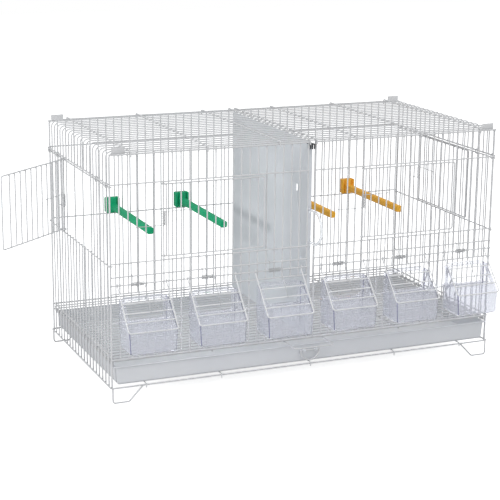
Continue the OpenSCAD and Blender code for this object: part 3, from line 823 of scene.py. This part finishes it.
@dataclass(frozen=True)
class Studio:
    """A pale sweep of floor, an even sky and soft lamps."""

    floor_side: float = 14.0
    floor_tone: float = 0.97
    floor_bounce: float = 0.72
    floor_lift: float = 0.78
    sky_colour: Colour = (0.97, 0.985, 1.0, 1.0)
    sky_strength: float = 0.52
    lamps: tuple[Lamp, ...] = (
        Lamp("key", (-2.9, -0.9, 0.92), (0.0, 0.0, 0.25), side=0.4, watts=30.0),
        Lamp("front", (-0.6, -3.1, 1.9), (0.0, 0.0, 0.2), side=2.2, watts=9.0),
        Lamp("fill", (2.4, -2.2, 1.5), (0.0, 0.0, 0.2), side=1.8, watts=19.0),
        Lamp("top", (0.1, -0.3, 2.6), (0.0, 0.0, 0.1), side=2.4, watts=16.0),
    )

    def build(self) -> None:
        """Makes the floor, the sky and the lamps."""
        bpy.context.scene.view_settings.view_transform = "Standard"
        self._floor()
        self._sky()
        for lamp in self.lamps:
            lamp.build()

    def _floor(self) -> None:
        """Makes the floor, which keeps the cage's shadow."""
        bm = bmesh.new()
        bmesh.ops.create_grid(bm, x_segments=1, y_segments=1, size=self.floor_side / 2)
        mesh = bpy.data.meshes.new("floor")
        bm.to_mesh(mesh)
        bm.free()
        mesh.materials.append(self._paper())
        floor = bpy.data.objects.new("floor", mesh)
        bpy.context.scene.collection.objects.link(floor)

    def _paper(self) -> Material:
        """Makes the floor's white paper, which looks lit right through but lights nothing.

        Returns:
            The material.
        """
        paper = bpy.data.materials.new("studio_paper")
        paper.use_nodes = True
        nodes = paper.node_tree.nodes
        plain = nodes["Principled BSDF"]
        lifted = nodes.new("ShaderNodeBsdfPrincipled")
        for shader, tone in ((plain, self.floor_bounce), (lifted, self.floor_tone)):
            fill_in(shader, {
                "Base Color": (tone, tone, tone, 1.0),
                "Roughness": 0.9,
                "Specular IOR Level": 0.0,
            })
        fill_in(lifted, {"Emission Color": WHITE, "Emission Strength": self.floor_lift})
        self._show(paper.node_tree, plain, lifted, nodes["Material Output"])
        return paper

    def _sky(self) -> None:
        """Makes the sky: white where it is seen straight or through plastic."""
        world = bpy.data.worlds.new("studio_sky")
        bpy.context.scene.world = world
        world.use_nodes = True
        nodes = world.node_tree.nodes
        lighting = nodes["Background"]
        fill_in(lighting, {"Color": self.sky_colour, "Strength": self.sky_strength})
        seen = nodes.new("ShaderNodeBackground")
        fill_in(seen, {"Color": WHITE})
        self._show(world.node_tree, lighting, seen, nodes["World Output"])

    @staticmethod
    def _show(
        tree: NodeTree,
        lighting: Node,
        seen: Node,
        end: Node,
    ) -> None:
        """Shows one shader to straight rays and to those through plastic, and another to the rest.

        Args:
            tree: the nodes of a material or of the sky.
            lighting: the shader that lights the cage.
            seen: the shader that the camera sees.
            end: the node that puts the choice out.
        """
        ray = tree.nodes.new("ShaderNodeLightPath")
        either = tree.nodes.new("ShaderNodeMath")
        either.operation = "MAXIMUM"
        choice = tree.nodes.new("ShaderNodeMixShader")
        join(tree, (
            (ray, "Is Camera Ray", either, 0),
            (ray, "Is Transmission Ray", either, 1),
            (either, 0, choice, "Fac"),
            (lighting, 0, choice, 1),
            (seen, 0, choice, 2),
            (choice, 0, end, "Surface"),
        ))


# ---- Wire body ---------------------------------------------------------------


@dataclass
class WireBody:
    """The welded panels, rails and feet, with their coating and their welds."""

    bench: Bench
    centre_gap: float = 14.8
    front_gaps: int = 23
    side_gaps: int = 20
    corner_gap: float = 0.1
    back_gaps: int = 47
    windows: tuple[tuple[int, int], ...] = ((0, 7), (8, 15), (16, 23))
    door_span: tuple[int, int] = (6, 18)
    side_span: tuple[int, int] = (5, 15)
    sill: float = 119.0
    window_top: float = 171.0
    flap_rail: float = 186.0
    hook_rail: float = 201.0
    door_sill: float = 225.0
    door_top: float = 364.0
    back_door_top: float = 366.0
    side_sill: float = 221.0
    side_top: float = 360.4
    roof_rail: float = 364.8
    top_rail: float = 415.5
    roof: float = 418.0
    low_rail: float = 51.48
    runners: tuple[float, float] = (42.04, 52.98)
    support_places: tuple[float, ...] = (61.5, 205.0, 382.5, 557.5, 700.0)
    roof_crossings: tuple[float, ...] = (37.0, 177.5, 315.0, 373.5, 386.5, 465.0, 600.0, 726.0)

    NODES = (
        "front_panel_left", "front_panel_right", "back_panel", "left_side_panel",
        "right_side_panel", "roof_panel", "base_rails", "tray_support_wires", "panel_clips",
        "foot_front_left", "foot_front_right", "foot_back_left", "foot_back_right",
    )

    def build(self) -> None:
        """Coats the wires and adds the welds of each wall."""
        self.bench.dress(self.NODES, COATED_WIRE)
        for name, draw in (
            ("front", self._front),
            ("back", self._back),
            ("side", self._sides),
            ("roof", self._roof),
        ):
            bm = bmesh.new()
            draw(bm)
            self.bench.put_welds(bm, name, COATED_WIRE, "cage")

    @property
    def thin(self) -> float:
        """How far the weld of a thin wire lies from the uprights' middle."""
        return self.bench.wire_offset / 2

    @property
    def thick(self) -> float:
        """How far the weld of a rail lies from the uprights' middle."""
        return self.bench.rail_offset / 2

    @property
    def half_width(self) -> float:
        """The width of one half of the front."""
        return (self.bench.width - self.centre_gap) / 2

    @property
    def half_starts(self) -> tuple[float, float]:
        """Where each half of the front starts."""
        return (0.0, self.half_width + self.centre_gap)

    @property
    def front_pitch(self) -> float:
        """The distance between two uprights of the front."""
        return self.half_width / self.front_gaps

    @property
    def side_pitch(self) -> float:
        """The distance between two uprights of a side wall."""
        return self.bench.depth / self.side_gaps

    @property
    def walls(self) -> tuple[tuple[float, float], ...]:
        """Where each side wall stands, and which way is out of the cage."""
        return ((0.0, -1.0), (self.bench.width, 1.0))

    def side_place(self, k: int) -> float:
        """Where an upright of a side wall stands; the end ones stand beside the corner wires.

        Args:
            k: the upright's number, from the front.

        Returns:
            Its distance from the front wall.
        """
        beside = 2 * self.bench.wire_radius + self.corner_gap
        if k == 0:
            return beside
        return self.bench.depth - beside if k == self.side_gaps else k * self.side_pitch

    def front_hinges(self, level: float) -> list[Matrix]:
        """The hinges of the two front doors, with each door along x.

        Args:
            level: how high the hinges' places are taken.

        Returns:
            The left and the right hinge's place.
        """
        return [
            Matrix.Translation((start + self.door_span[0] * self.front_pitch, 0.0, level))
            for start in self.half_starts
        ]

    def left_hinge(self, level: float) -> Matrix:
        """The place of the left side door's hinge, with the shut door along x."""
        place = Matrix.Translation((0.0, self.side_span[1] * self.side_pitch, level))
        return place @ Matrix.Rotation(-math.pi / 2, 4, "Z")

    def _front(self, bm: BMesh) -> None:
        """Adds the welds of the front's uprights and rails.

        Args:
            bm: the mesh to add them to.
        """
        thin_levels = (
            self.sill, self.window_top, self.flap_rail, self.hook_rail, self.door_sill, self.door_top
        )
        for start in self.half_starts:
            for k in range(self.front_gaps + 1):
                x = start + k * self.front_pitch
                for z in thin_levels:
                    weld(bm, (x, -self.thin, z), Facing.Y)
                for z in (self.low_rail, self.top_rail):
                    weld(bm, (x, -self.thick, z), Facing.Y)
        for x, _ in self.walls:
            weld(bm, (x, -self.thick, 0.0), Facing.Y)

    def _back(self, bm: BMesh) -> None:
        """Adds the welds of the back wall.

        Args:
            bm: the mesh to add them to.
        """
        depth, pitch = self.bench.depth, self.bench.width / self.back_gaps
        for k in range(self.back_gaps + 1):
            for z in (0.0, self.low_rail, self.top_rail):
                weld(bm, (k * pitch, depth + self.thick, z), Facing.Y)
            for z in (self.door_sill, self.back_door_top):
                weld(bm, (k * pitch, depth + self.thin, z), Facing.Y)

    def _sides(self, bm: BMesh) -> None:
        """Adds the welds of the two side walls.

        Args:
            bm: the mesh to add them to.
        """
        for wall, out in self.walls:
            for y in map(self.side_place, range(self.side_gaps + 1)):
                for z in (self.side_sill, self.side_top):
                    weld(bm, (wall + out * self.thin, y, z), Facing.X)
                weld(bm, (wall + out * self.thick, y, 0.0), Facing.X)
                for z in self.runners:
                    weld(bm, (wall - out * self.thick, y, z), Facing.X)

    def _roof(self, bm: BMesh) -> None:
        """Adds the welds of the roof and of the wires under the tray.

        Args:
            bm: the mesh to add them to.
        """
        for y in map(self.side_place, range(self.side_gaps + 1)):
            for x in self.roof_crossings:
                weld(bm, (x, y, self.roof + self.thin), Facing.Z)
            for wall, out in self.walls:
                weld(bm, (wall + out * self.thick, y, self.roof_rail), Facing.X)
        for x in self.support_places:
            for y in (-self.bench.rail_offset, self.bench.depth + self.bench.rail_offset):
                weld(bm, (x, y, self.thick), Facing.Z)


# ---- Springs -----------------------------------------------------------------


@dataclass
class Springs:
    """The wound wires that close the doors and hold the flaps down."""

    bench: Bench
    wire_radius: float = 0.6
    clear: float = 0.3
    steps: int = 20
    door_rise: float = 62.0
    side_rise: float = 43.0
    door_coil: float = 2.6
    door_curls: float = 8.0
    door_pitch: float = 3.0
    leg_gaps: int = 3
    leg_start: float = 1.6
    leg_bend: tuple[tuple[float, float], ...] = ((1.4, 0.0), (0.4, 0.35), (0.0, 1.2))
    wall_tip: float = 4.6
    door_tip: float = 3.2
    flap_coil: float = 3.2
    flap_curls: float = 8.0
    flap_pitch: float = 2.5
    flap_wide_step: float = 2.2
    flap_wide_from: float = 3.5
    corner: float = 1.4
    corner_cut: float = 0.4
    behind_hook: float = 0.5
    bar_corner: float = 1.6
    bar_tip: float = 3.0

    def build(self, body: WireBody, flap: "Flaps") -> None:
        """Winds every spring.

        Args:
            body: the cage's walls, which the springs lean on.
            flap: the flaps over the feeders.
        """
        beside = self.bench.wire_radius + self.clear + self.wire_radius
        on_door = self.leg_gaps * Doors.upright_step + beside
        on_side_door = Doors.hinge_side + on_door
        level = body.door_sill + self.door_rise
        for name, hinge in zip(("left", "right"), body.front_hinges(level)):
            wall_leg = self.leg_gaps * body.front_pitch + beside
            self._door(f"front_door_spring_{name}", f"front_door_{name}", hinge, wall_leg, on_door)
        left = body.left_hinge(body.door_sill + self.side_rise)
        wall_leg = body.side_pitch + beside
        self._door(
            "left_door_spring", "left_side_door", left, wall_leg, on_side_door, Doors.left_open
        )
        self._door(
            "right_door_spring", "right_side_door", self.bench.mirror @ left, wall_leg, on_side_door
        )
        for number, centre in enumerate(flap.centres(body), start=1):
            self._flap(number, centre, body, flap)

    def _wind(self, name: str, path: list[Vector], door: str, start: Vector, end: Vector) -> None:
        """Makes one spring as a piece on no body.

        Args:
            name: the CAD spring's name.
            path: the wire's middle line, in cage millimetres.
            door: not used.
            start: where the coil leaves the wall, in cage millimetres.
            end: where the coil reaches the far leg, in cage millimetres.
        """
        bm = tube(path, self.wire_radius)
        piece = self.bench.put(bm, f"{name}_wound", [SPRING_WIRE], None, [name], EVERY_EDGE_SOFT)
        self.bench.point(*start)
        self.bench.point(*end)
        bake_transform(piece)

    def _coil(self, curls: float) -> list[tuple[float, float]]:
        """The steps of a coil.

        Args:
            curls: how many curls it has.

        Returns:
            For each step, how many curls are wound and the angle.
        """
        count = round(curls * self.steps)
        wound = [i * curls / count for i in range(count + 1)]
        return [(t, 2 * math.pi * t) for t in wound]

    def _leg(self, reach: float, tip: float, level: float) -> list[Vector]:
        """A door spring's leg, from the coil out to its hooked tip.

        Args:
            reach: how far the leg goes along x, negative towards the wall.
            tip: how far the hook goes back over the wire.
            level: the leg's height.

        Returns:
            The leg's points.
        """
        side = math.copysign(1.0, reach)
        line = [(self.leg_start, 0.0)]
        line += [(abs(reach) - back, out) for back, out in self.leg_bend]
        line.append((abs(reach), tip))
        return [Vector((side * x, out - self.door_coil, level)) for x, out in line]

    def _door(
        self,
        name: str,
        door: str,
        place: Matrix,
        wall_leg: float,
        door_leg: float,
        opened: float = 0.0,
    ) -> None:
        """Winds a door's spring round its hinge wire.

        Args:
            name: the CAD spring's name.
            door: the door's body.
            place: from the hinge's own axes, with the door along x and its outer side at -y.
            wall_leg: how far the wall's leg reaches.
            door_leg: how far the door's leg reaches.
            opened: how far the door stands open, in degrees.
        """
        curls = self.door_curls - opened / 360
        top = self.door_pitch * curls
        path = self._leg(-wall_leg, self.wall_tip, 0.0)[::-1]
        for t, angle in self._coil(curls):
            x, y = self.door_coil * math.sin(angle), -self.door_coil * math.cos(angle)
            path.append(Vector((x, y, self.door_pitch * t)))
        swing = Matrix.Rotation(-math.radians(opened), 4, "Z")
        path += [swing @ p for p in self._leg(door_leg, self.door_tip, top)]
        ends = [place @ Vector((0, 0, 0)), place @ Vector((0, 0, top))]
        self._wind(name, [place @ p for p in path], door, *ends)

    def _flap(self, number: int, centre: float, body: WireBody, flap: "Flaps") -> None:
        """Winds a flap's spring on the rail that the flap hangs from.

        Args:
            number: the feeder's number.
            centre: the flap's middle.
            body: the cage's walls.
            flap: the flaps' sizes.
        """
        rail = Vector((centre, -self.bench.wire_offset, body.flap_rail))
        curls = self.flap_curls - (90 - math.degrees(flap.dip)) / 360
        length = self.flap_pitch * curls + self.flap_wide_step
        begin = -body.front_pitch / 2 - length / 2

        def along(t: float) -> float:
            """The coil's place along the rail after t curls, with one wide step."""
            wide = self.flap_wide_step * min(1.0, max(0.0, t - self.flap_wide_from))
            return begin + self.flap_pitch * t + wide

        front = -self.flap_coil
        over_hook = body.hook_rail - body.flap_rail
        over_hook += self.bench.wire_radius + self.clear + self.wire_radius
        x0, x1 = along(0.0), along(curls)
        leg = (
            (self.behind_hook + self.bench.wire_offset, over_hook),
            (front + self.corner, over_hook),
            (front + self.corner_cut, over_hook - self.corner_cut),
            (front, over_hook - self.corner),
            (front, self.leg_start),
        )
        path = [Vector((x0, y, z)) for y, z in leg]
        for t, angle in self._coil(curls):
            y, z = -self.flap_coil * math.cos(angle), -self.flap_coil * math.sin(angle)
            path.append(Vector((along(t), y, z)))
        over = flap.wire_radius + self.wire_radius + self.clear
        bar = flap.length * flap.bars[1] + over
        over -= flap.eye_radius
        for down, out in (
            (bar - self.bar_corner, over),
            (bar - self.corner_cut, over - self.corner_cut),
            (bar, over - self.bar_corner),
            (bar, over - self.bar_tip),
        ):
            path.append(Vector((x1, 0, 0)) + flap.down * down + flap.out * out)
        ends = [rail + Vector((x, 0, 0)) for x in (x0 + self.wire_radius, x1 - self.wire_radius)]
        self._wind(f"flap_spring_{number}", [rail + p for p in path], f"feeder_flap_{number}", *ends)


# ---- Doors -------------------------------------------------------------------


@dataclass
class Doors:
    """The four wire doors: two in the front and a nest door in each side."""

    bench: Bench
    plane: float = 2.7
    front_height: float = 128.0
    side_height: float = 133.5
    hinge_side: float = 4.8
    front_rise: float = 6.5
    side_level: float = 224.5
    weld_drop: float = 0.75
    upright_step: float = 16.2
    front_uprights: int = 11
    side_uprights: int = 10
    left_open: float = 50.7

    NAMES = ("front_door_left", "front_door_right", "left_side_door", "right_side_door")

    def build(self, body: WireBody) -> None:
        """Coats the doors and adds their welds.

        Args:
            body: the cage's walls, which the doors hang on.
        """
        self.bench.dress(self.NAMES, COATED_WIRE)
        for name, hinge in zip(self.NAMES, body.front_hinges(body.door_sill + self.front_rise)):
            self._welds(name, hinge, 0.0, self.front_uprights, self.front_height)
        shut = body.left_hinge(self.side_level)
        opened = shut @ Matrix.Rotation(-math.radians(self.left_open), 4, "Z")
        for name, place in zip(self.NAMES[2:], (opened, self.bench.mirror @ shut)):
            self._welds(name, place, self.hinge_side, self.side_uprights, self.side_height)

    def _welds(self, name: str, place: Matrix, first: float, steps: int, height: float) -> None:
        """Adds a door's welds, drawn with its hinge wire upright at the start.

        Args:
            name: the door's node and body.
            place: where the door hangs.
            first: where the even steps of its uprights are counted from.
            steps: how many uprights it has beside the hinge's.
            height: its height.
        """
        bm = bmesh.new()
        y = -self.plane + self.bench.wire_offset / 2
        uprights = [first + i * self.upright_step for i in range(1, steps + 1)]
        for x in [self.hinge_side, *uprights]:
            for z in (0.0, height - self.weld_drop):
                weld(bm, (x, y, z), Facing.Y)
        bm.transform(place)
        bmesh.ops.recalc_face_normals(bm, faces=bm.faces)
        self.bench.put_welds(bm, name, COATED_WIRE, name)


# ---- Feeders -----------------------------------------------------------------


@dataclass
class Flaps:
    """The wire flaps that close the feeders."""

    bench: Bench
    width: float = 90.0
    length: float = 91.9
    wire_radius: float = 1.1
    eye_gap: float = 0.3
    reach: float = 62.0
    bars: tuple[float, float, float] = (0.38, 0.59, 0.79)
    weld_reach: float = 1.35

    @property
    def eye_radius(self) -> float:
        """The radius of the hooks' middle line round the rail."""
        return self.bench.wire_radius + self.eye_gap + self.wire_radius

    @property
    def dip(self) -> float:
        """The slope of the flaps.

        Returns:
            How far they dip from level, in radians.
        """
        run = self.reach - self.bench.wire_offset
        fall = math.sqrt(self.length**2 - run**2)
        return math.atan2(fall, run) - math.asin(self.eye_radius / self.length)

    @property
    def down(self) -> Vector:
        """The direction down a flap's slope."""
        return Vector((0.0, -math.cos(self.dip), -math.sin(self.dip)))

    @property
    def out(self) -> Vector:
        """The direction out of a flap."""
        return Vector((0.0, -math.sin(self.dip), math.cos(self.dip)))

    @staticmethod
    def centres(body: WireBody) -> list[float]:
        """The middles of the six feeding windows.

        Args:
            body: the cage's walls.

        Returns:
            Their distances from the left wall.
        """
        return [
            start + body.front_pitch * (first + last) / 2
            for start in body.half_starts
            for first, last in body.windows
        ]

    def build(self, body: WireBody) -> None:
        """Coats the flaps in a lighter copy of the wire coating, which is painted light, and adds
        their welds.

        Args:
            body: the cage's walls.
        """
        for number, centre in enumerate(self.centres(body), start=1):
            name = f"feeder_flap_{number}"
            # the flaps get the lighter copy of the wire coating: painted light
            self.bench.dress([name], FLAP_WIRE_PAINTED_LIGHT)
            bm = bmesh.new()
            rail = Vector((centre, -self.bench.wire_offset, body.flap_rail))
            for share in self.bars:
                for side in (-1, 1):
                    end = Vector((side * (self.width / 2 - self.wire_radius), 0, 0))
                    at = rail + end + self.down * self.length * share - self.out * self.eye_radius
                    weld(bm, at, Facing.ALL_ROUND, self.weld_reach)
            self.bench.put_welds(bm, name, FLAP_WIRE_PAINTED_LIGHT, name)


@dataclass
class FeederCups:
    """The six clear cups outside the front."""

    bench: Bench
    count: int = 6
    edge: float = 1.0
    wall: float = 2.0
    shortest: float = 15.0

    def build(self) -> None:
        """Makes each cup from the CAD cup's shape, with rounded corners in a dark tint that is
        painted shade.
        """
        for number in range(1, self.count + 1):
            node = f"feeder_cup_{number}"
            bm = self.bench.copy_of(node)
            # the rounded corners get the dark tint: painted shade
            for face in round_edges(bm, self.edge, 1, self._corners(node), held_back=False):
                face.material_index = 1
            self.bench.put(bm, f"{node}_moulding", [CUP_PLASTIC, CUP_EDGE_PAINTED_SHADE], node, [node])

    def _corners(self, node: str) -> Callable[[BMEdge], bool]:
        """Tells the long outer corners of a cup from its other edges.

        Args:
            node: the CAD cup's name.

        Returns:
            A test of an edge.
        """
        low, high = (self.bench.to_frame.inverted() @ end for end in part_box(node))

        def outer(edge: BMEdge) -> bool:
            """Tells an outer corner by its length and by its side wall.

            Args:
                edge: an edge of the cup.

            Returns:
                Whether it is long and lies on the outside of a side wall.
            """
            first, last = (vert.co for vert in edge.verts)
            x = (first.x + last.x) / 2
            aside = min(x - low.x, high.x - x)
            return (last - first).length > self.shortest and aside < 0.75 * self.wall

        return outer


# ---- Floor -------------------------------------------------------------------


@dataclass
class Floor:
    """The tray with its pull, and the grille above it."""

    bench: Bench
    tray_edge: float = 0.6
    tray_inside: float = 25.0
    facing_up: float = 0.5
    bracket_edge: float = 0.5
    grille_side: float = 3.14
    grille_gaps: int = 24
    grille_start: float = 3.6
    grille_low: float = 45.04

    def build(self) -> None:
        """Makes the tray's pressed edges, with painted light on its floor, and the grille's welds.
        """
        bm = self.bench.copy_of("tray")
        round_edges(bm, self.tray_edge, 3)
        bm.normal_update()
        # the upward faces low in the tray get the lighter copy of the enamel: painted light
        for face in bm.faces:
            at = face.calc_center_median()
            if face.normal.z > self.facing_up and at.z < self.tray_inside:
                face.material_index = 1
        self.bench.put(bm, "tray_pan", [TRAY_ENAMEL, TRAY_FLOOR_PAINTED_LIGHT], "tray", ["tray"])
        bm = self.bench.copy_of("tray_pull_bracket")
        round_edges(bm, self.bracket_edge)
        self.bench.put(bm, "tray_pull_lugs", [TRAY_ENAMEL], "tray", ["tray_pull_bracket"])
        self.bench.dress(["tray_pull", "floor_grille"], COATED_WIRE)
        self._grille_welds()

    def _grille_welds(self) -> None:
        """Adds a bead where each grille wire lies on the four below it."""
        bm = bmesh.new()
        width, depth = self.bench.width, self.bench.depth
        step = (depth - 2 * self.grille_start) / self.grille_gaps
        for k in range(self.grille_gaps + 1):
            for x in (self.grille_side, width / 4, width * 3 / 4, width - self.grille_side):
                at = (x, self.grille_start + k * step, self.grille_low + self.bench.wire_offset / 2)
                weld(bm, at, Facing.Z)
        self.bench.put_welds(bm, "floor_grille", COATED_WIRE, "floor_grille")


# ---- Divider -----------------------------------------------------------------


@dataclass
class Divider:
    """The sheet between the two cabins, with its pull and catch."""

    bench: Bench
    front: float = 6.0
    sheet_edge: float = 0.3
    pull_radius: float = 30.0
    pull_middle: float = 260.0
    rivet_radius: float = 1.3
    rivet_place: tuple[float, float] = (2.4, -3.0)
    catch_top: float = 411.5
    catch_edge: float = 0.4

    RIVET_DOME = ((0.0, 0.0), (0.0, 1.0), (0.4, 0.85), (0.75, 0.5), (0.9, 0.0))
    # the catch's cap, its three legs in front of the sheet and its two jaws, from the cap's top
    CATCH = (
        ((-5.0, -2.0, -1.8), (5.0, 14.0, 0.0)),
        ((-4.8, -2.0, -9.5), (-3.0, 1.2, -1.7)),
        ((-0.9, -2.0, -9.5), (0.9, 1.2, -1.7)),
        ((3.0, -2.0, -9.5), (4.8, 1.2, -1.7)),
        ((-2.6, 7.4, -10.5), (-0.7, 14.0, -1.7)),
        ((0.7, 7.4, -10.5), (2.6, 14.0, -1.7)),
    )

    def build(self) -> None:
        """Makes the sheet's edges, the rivets of its pull and the catch."""
        bm = self.bench.copy_of("divider_sheet")
        round_edges(bm, self.sheet_edge)
        self.bench.put(bm, "divider_sheet_pressed", [DIVIDER_ENAMEL], "divider", ["divider_sheet"])
        self.bench.dress(["divider_pull"], PULL_PLASTIC)
        self._rivets()
        self._catch()

    def _rivets(self) -> None:
        """Adds a domed rivet at each end of the pull."""
        bm = bmesh.new()
        aside, back = self.rivet_place
        dome = [(along, share * self.rivet_radius) for along, share in self.RIVET_DOME]
        for side in (-1, 1):
            z = self.pull_middle + side * self.pull_radius
            base = Vector((self.bench.width / 2 + aside, self.front + back, z))
            turned(bm, dome, base, Vector((1, 0, 0)), 16)
        self.bench.put(bm, "divider_pull_rivets", [DARK_PLASTIC], "divider")

    def _catch(self) -> None:
        """Makes the dark catch over the sheet's top corner."""
        bm = bmesh.new()
        top = Vector((self.bench.width / 2, 0.0, self.catch_top))
        for low, high in self.CATCH:
            block(bm, top + Vector(low), top + Vector(high))
        round_edges(bm, self.catch_edge)
        self.bench.put(bm, "divider_catch_clip", [DARK_PLASTIC], "divider", ["divider_catch"])


# ---- Perches -----------------------------------------------------------------


@dataclass
class Perches:
    """The four perches with the clamps that hold them to the back wall."""

    bench: Bench
    slots: tuple[int, ...] = (7, 16, 30, 39)
    greens: int = 2
    middle: float = 243.0
    aside: float = 2.2
    plate_width: float = 28.0
    plate_height: float = 30.0
    plate_thick: float = 7.0
    plate_corner: float = 2.0
    plate_edge: float = 0.5
    rod_side: float = 12.6
    rod_corner: float = 3.5
    rod_drop: float = 2.0
    rod_length: float = 222.0
    rod_sunk: float = 0.6
    collar_out: float = 1.2
    collar_corner: float = 4.1
    collar_length: float = 1.6
    end_edge: float = 0.9
    groove_at: float = 8.1
    groove_half: float = 1.7
    groove_deep: float = 3.0
    clamp_thick: float = 4.0
    clamp_edge: float = 0.7

    # how far the block in the right groove ends from the groove's own lowest and highest corner
    PLUG = (Vector((-0.6, 0.3, 1.0)), Vector((0.6, 0.1, -2.0)))
    CLAMP_BOSS = (
        (-0.5, 0.0), (-0.5, 6.0), (1.2, 6.0), (1.9, 5.3), (1.9, 3.2), (0.9, 2.8), (0.9, 0.0),
    )

    def build(self, body: WireBody) -> None:
        """Makes the perches, each in its colour.

        Args:
            body: the cage's walls, which the perches are clamped to.
        """
        pitch = self.bench.width / body.back_gaps
        face = self.bench.depth - self.bench.back_offset
        back = self.bench.depth + self.bench.back_offset + self.clamp_thick
        for number, slot in enumerate(self.slots, start=1):
            finish = GREEN_PLASTIC if number <= self.greens else ORANGE_PLASTIC
            x = (slot + 0.5) * pitch + self.aside
            rod, clamp = f"perch_{number}", f"perch_clamp_{number}"
            bm = bmesh.new()
            self._plate(bm, x, face)
            self._rod(bm, x, face - self.plate_thick)
            self.bench.put(bm, f"{rod}_moulding", [finish], "cage", [rod])
            bm = self.bench.copy_of(clamp)
            round_edges(bm, self.clamp_edge, 3)
            turned(bm, self.CLAMP_BOSS, Vector((x, back, self.middle)), INWARD)
            self.bench.put(bm, f"{clamp}_moulding", [finish], "cage", [clamp])

    def _plate(self, bm: BMesh, x: float, face: float) -> None:
        """Adds the grooved plate that bears on the back wall's wires.

        Args:
            bm: the mesh to add it to.
            x: the perch's middle.
            face: the plate's back.
        """
        half, front = self.plate_width / 2, face - self.plate_thick
        low = self.middle - self.plate_height / 2
        near, far = self.groove_at - self.groove_half, self.groove_at + self.groove_half
        deep = front + self.groove_deep
        right = [(near, front), (near, deep), (far, deep), (far, front), (half, front), (half, face)]
        left = [(-across, y) for across, y in reversed(right)]
        points = [(x + across, y, low) for across, y in left + right]
        outline(bm, points, (0.0, 0.0, self.plate_height))
        bmesh.ops.recalc_face_normals(bm, faces=bm.faces)

        def corner(edge: BMEdge) -> bool:
            """Whether an edge runs inward at one of the plate's outer corners."""
            return runs_along(edge, INWARD) and abs(edge.verts[0].co.x - x) > half - NEAR

        round_edges(bm, self.plate_corner, 4, corner)
        round_edges(bm, self.plate_edge)
        # the right groove is closed below the perch's middle
        lowest = Vector((x + near, front, low)) + self.PLUG[0]
        highest = Vector((x + far, deep, self.middle)) + self.PLUG[1]
        face_outwards(bm, block(bm, lowest, highest))

    def _rod(self, bm: BMesh, x: float, root: float) -> None:
        """Adds the rod, square with round corners, and the collar at its root.

        Args:
            bm: the mesh to add it to.
            x: the perch's middle.
            root: where the rod leaves the plate.
        """
        half, z = self.rod_side / 2, self.middle - self.rod_drop
        tip, front, sunk = root - self.rod_length, root - self.collar_length, root + self.rod_sunk
        collar = half + self.collar_out
        for out, start in ((half, tip), (collar, front)):
            block(bm, (x - out, start, z - out), (x + out, sunk, z + out))

        def along_rod(edge: BMEdge) -> bool:
            """Whether an edge is one of the rod's long ones."""
            return runs_along(edge, INWARD) and edge.calc_length() > self.rod_length

        def along_collar(edge: BMEdge) -> bool:
            """Whether an edge is one of the collar's corners."""
            long = abs(edge.calc_length() - (sunk - front)) < NEAR
            return runs_along(edge, INWARD) and long and abs(edge.verts[0].co.z - z) > collar - NEAR

        def ends_at(y: float) -> Callable[[BMEdge], bool]:
            """A test of whether an edge lies at y."""
            return lambda edge: all(abs(vert.co.y - y) < NEAR for vert in edge.verts)

        round_edges(bm, self.rod_corner, 6, along_rod)
        round_edges(bm, self.collar_corner, 5, along_collar)
        round_edges(bm, self.end_edge, 3, ends_at(tip))
        round_edges(bm, self.end_edge, 3, ends_at(front))
        bmesh.ops.recalc_face_normals(bm, faces=bm.faces)


# ---- Stacking tabs -----------------------------------------------------------


@dataclass
class StackingTabs:
    """The four upright plates on the roof, each curled round the wire that carries it."""

    bench: Bench
    length: float = 24.0
    height: float = 8.5
    inset: float = 4.0
    thick: float = 0.9
    edge: float = 0.25
    clear: float = 0.05
    straight: float = 1.0
    bend_from: float = -20.0
    bend_step: float = -22.0
    bend_steps: int = 8

    def build(self, body: WireBody) -> None:
        """Makes the four tabs as one piece.

        Args:
            body: the cage's walls and roof.
        """
        bm = bmesh.new()
        for start in (self.inset, self.bench.width - self.inset - self.length):
            for k, out in ((0, -1.0), (body.side_gaps, 1.0)):
                self._tab(bm, start, body.side_place(k), body.roof, out)
        bmesh.ops.recalc_face_normals(bm, faces=bm.faces)
        bmesh.ops.solidify(bm, geom=bm.faces, thickness=self.thick)
        bmesh.ops.recalc_face_normals(bm, faces=bm.faces)
        round_edges(bm, self.edge)
        self.bench.put(bm, "stacking_tab_plates", [COATED_WIRE], "cage", ["stacking_tabs"])

    def _tab(self, bm: BMesh, start: float, y: float, z: float, out: float) -> None:
        """Adds one tab as a bent sheet without thickness.

        Args:
            bm: the mesh to add it to.
            start: its left end.
            y: the roof wire's place.
            z: the roof wire's level.
            out: -1 at the front and 1 at the back.
        """
        curl = self.bench.wire_radius + self.clear + self.thick / 2
        top = self.bench.back_offset + self.height
        line = [(y + out * curl, z + top), (y + out * curl, z + self.straight)]
        for i in range(1, self.bend_steps + 1):
            angle = math.radians(self.bend_from + self.bend_step * i)
            line.append((y + out * curl * math.cos(angle), z + curl * math.sin(angle)))
        verts = [bm.verts.new((start, *place)) for place in line]
        edges = [bm.edges.new(pair) for pair in zip(verts, verts[1:])]
        push(bm, bmesh.ops.extrude_edge_only(bm, edges=edges), (self.length, 0.0, 0.0))


# ---- The whole cage ----------------------------------------------------------


def main() -> None:
    """Builds the cage's looks in order."""
    logging.basicConfig(level=logging.INFO, format="%(message)s")
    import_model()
    bench = Bench.from_frame()
    PhotoCamera().build(bench)
    Studio().build()
    body = WireBody(bench)
    body.build()
    doors = Doors(bench)
    doors.build(body)
    flaps = Flaps(bench)
    flaps.build(body)
    Springs(bench).build(body, flaps)
    FeederCups(bench).build()
    Floor(bench).build()
    Divider(bench).build()
    Perches(bench).build(body)
    StackingTabs(bench).build(body)


if __name__ == "__main__":
    main()
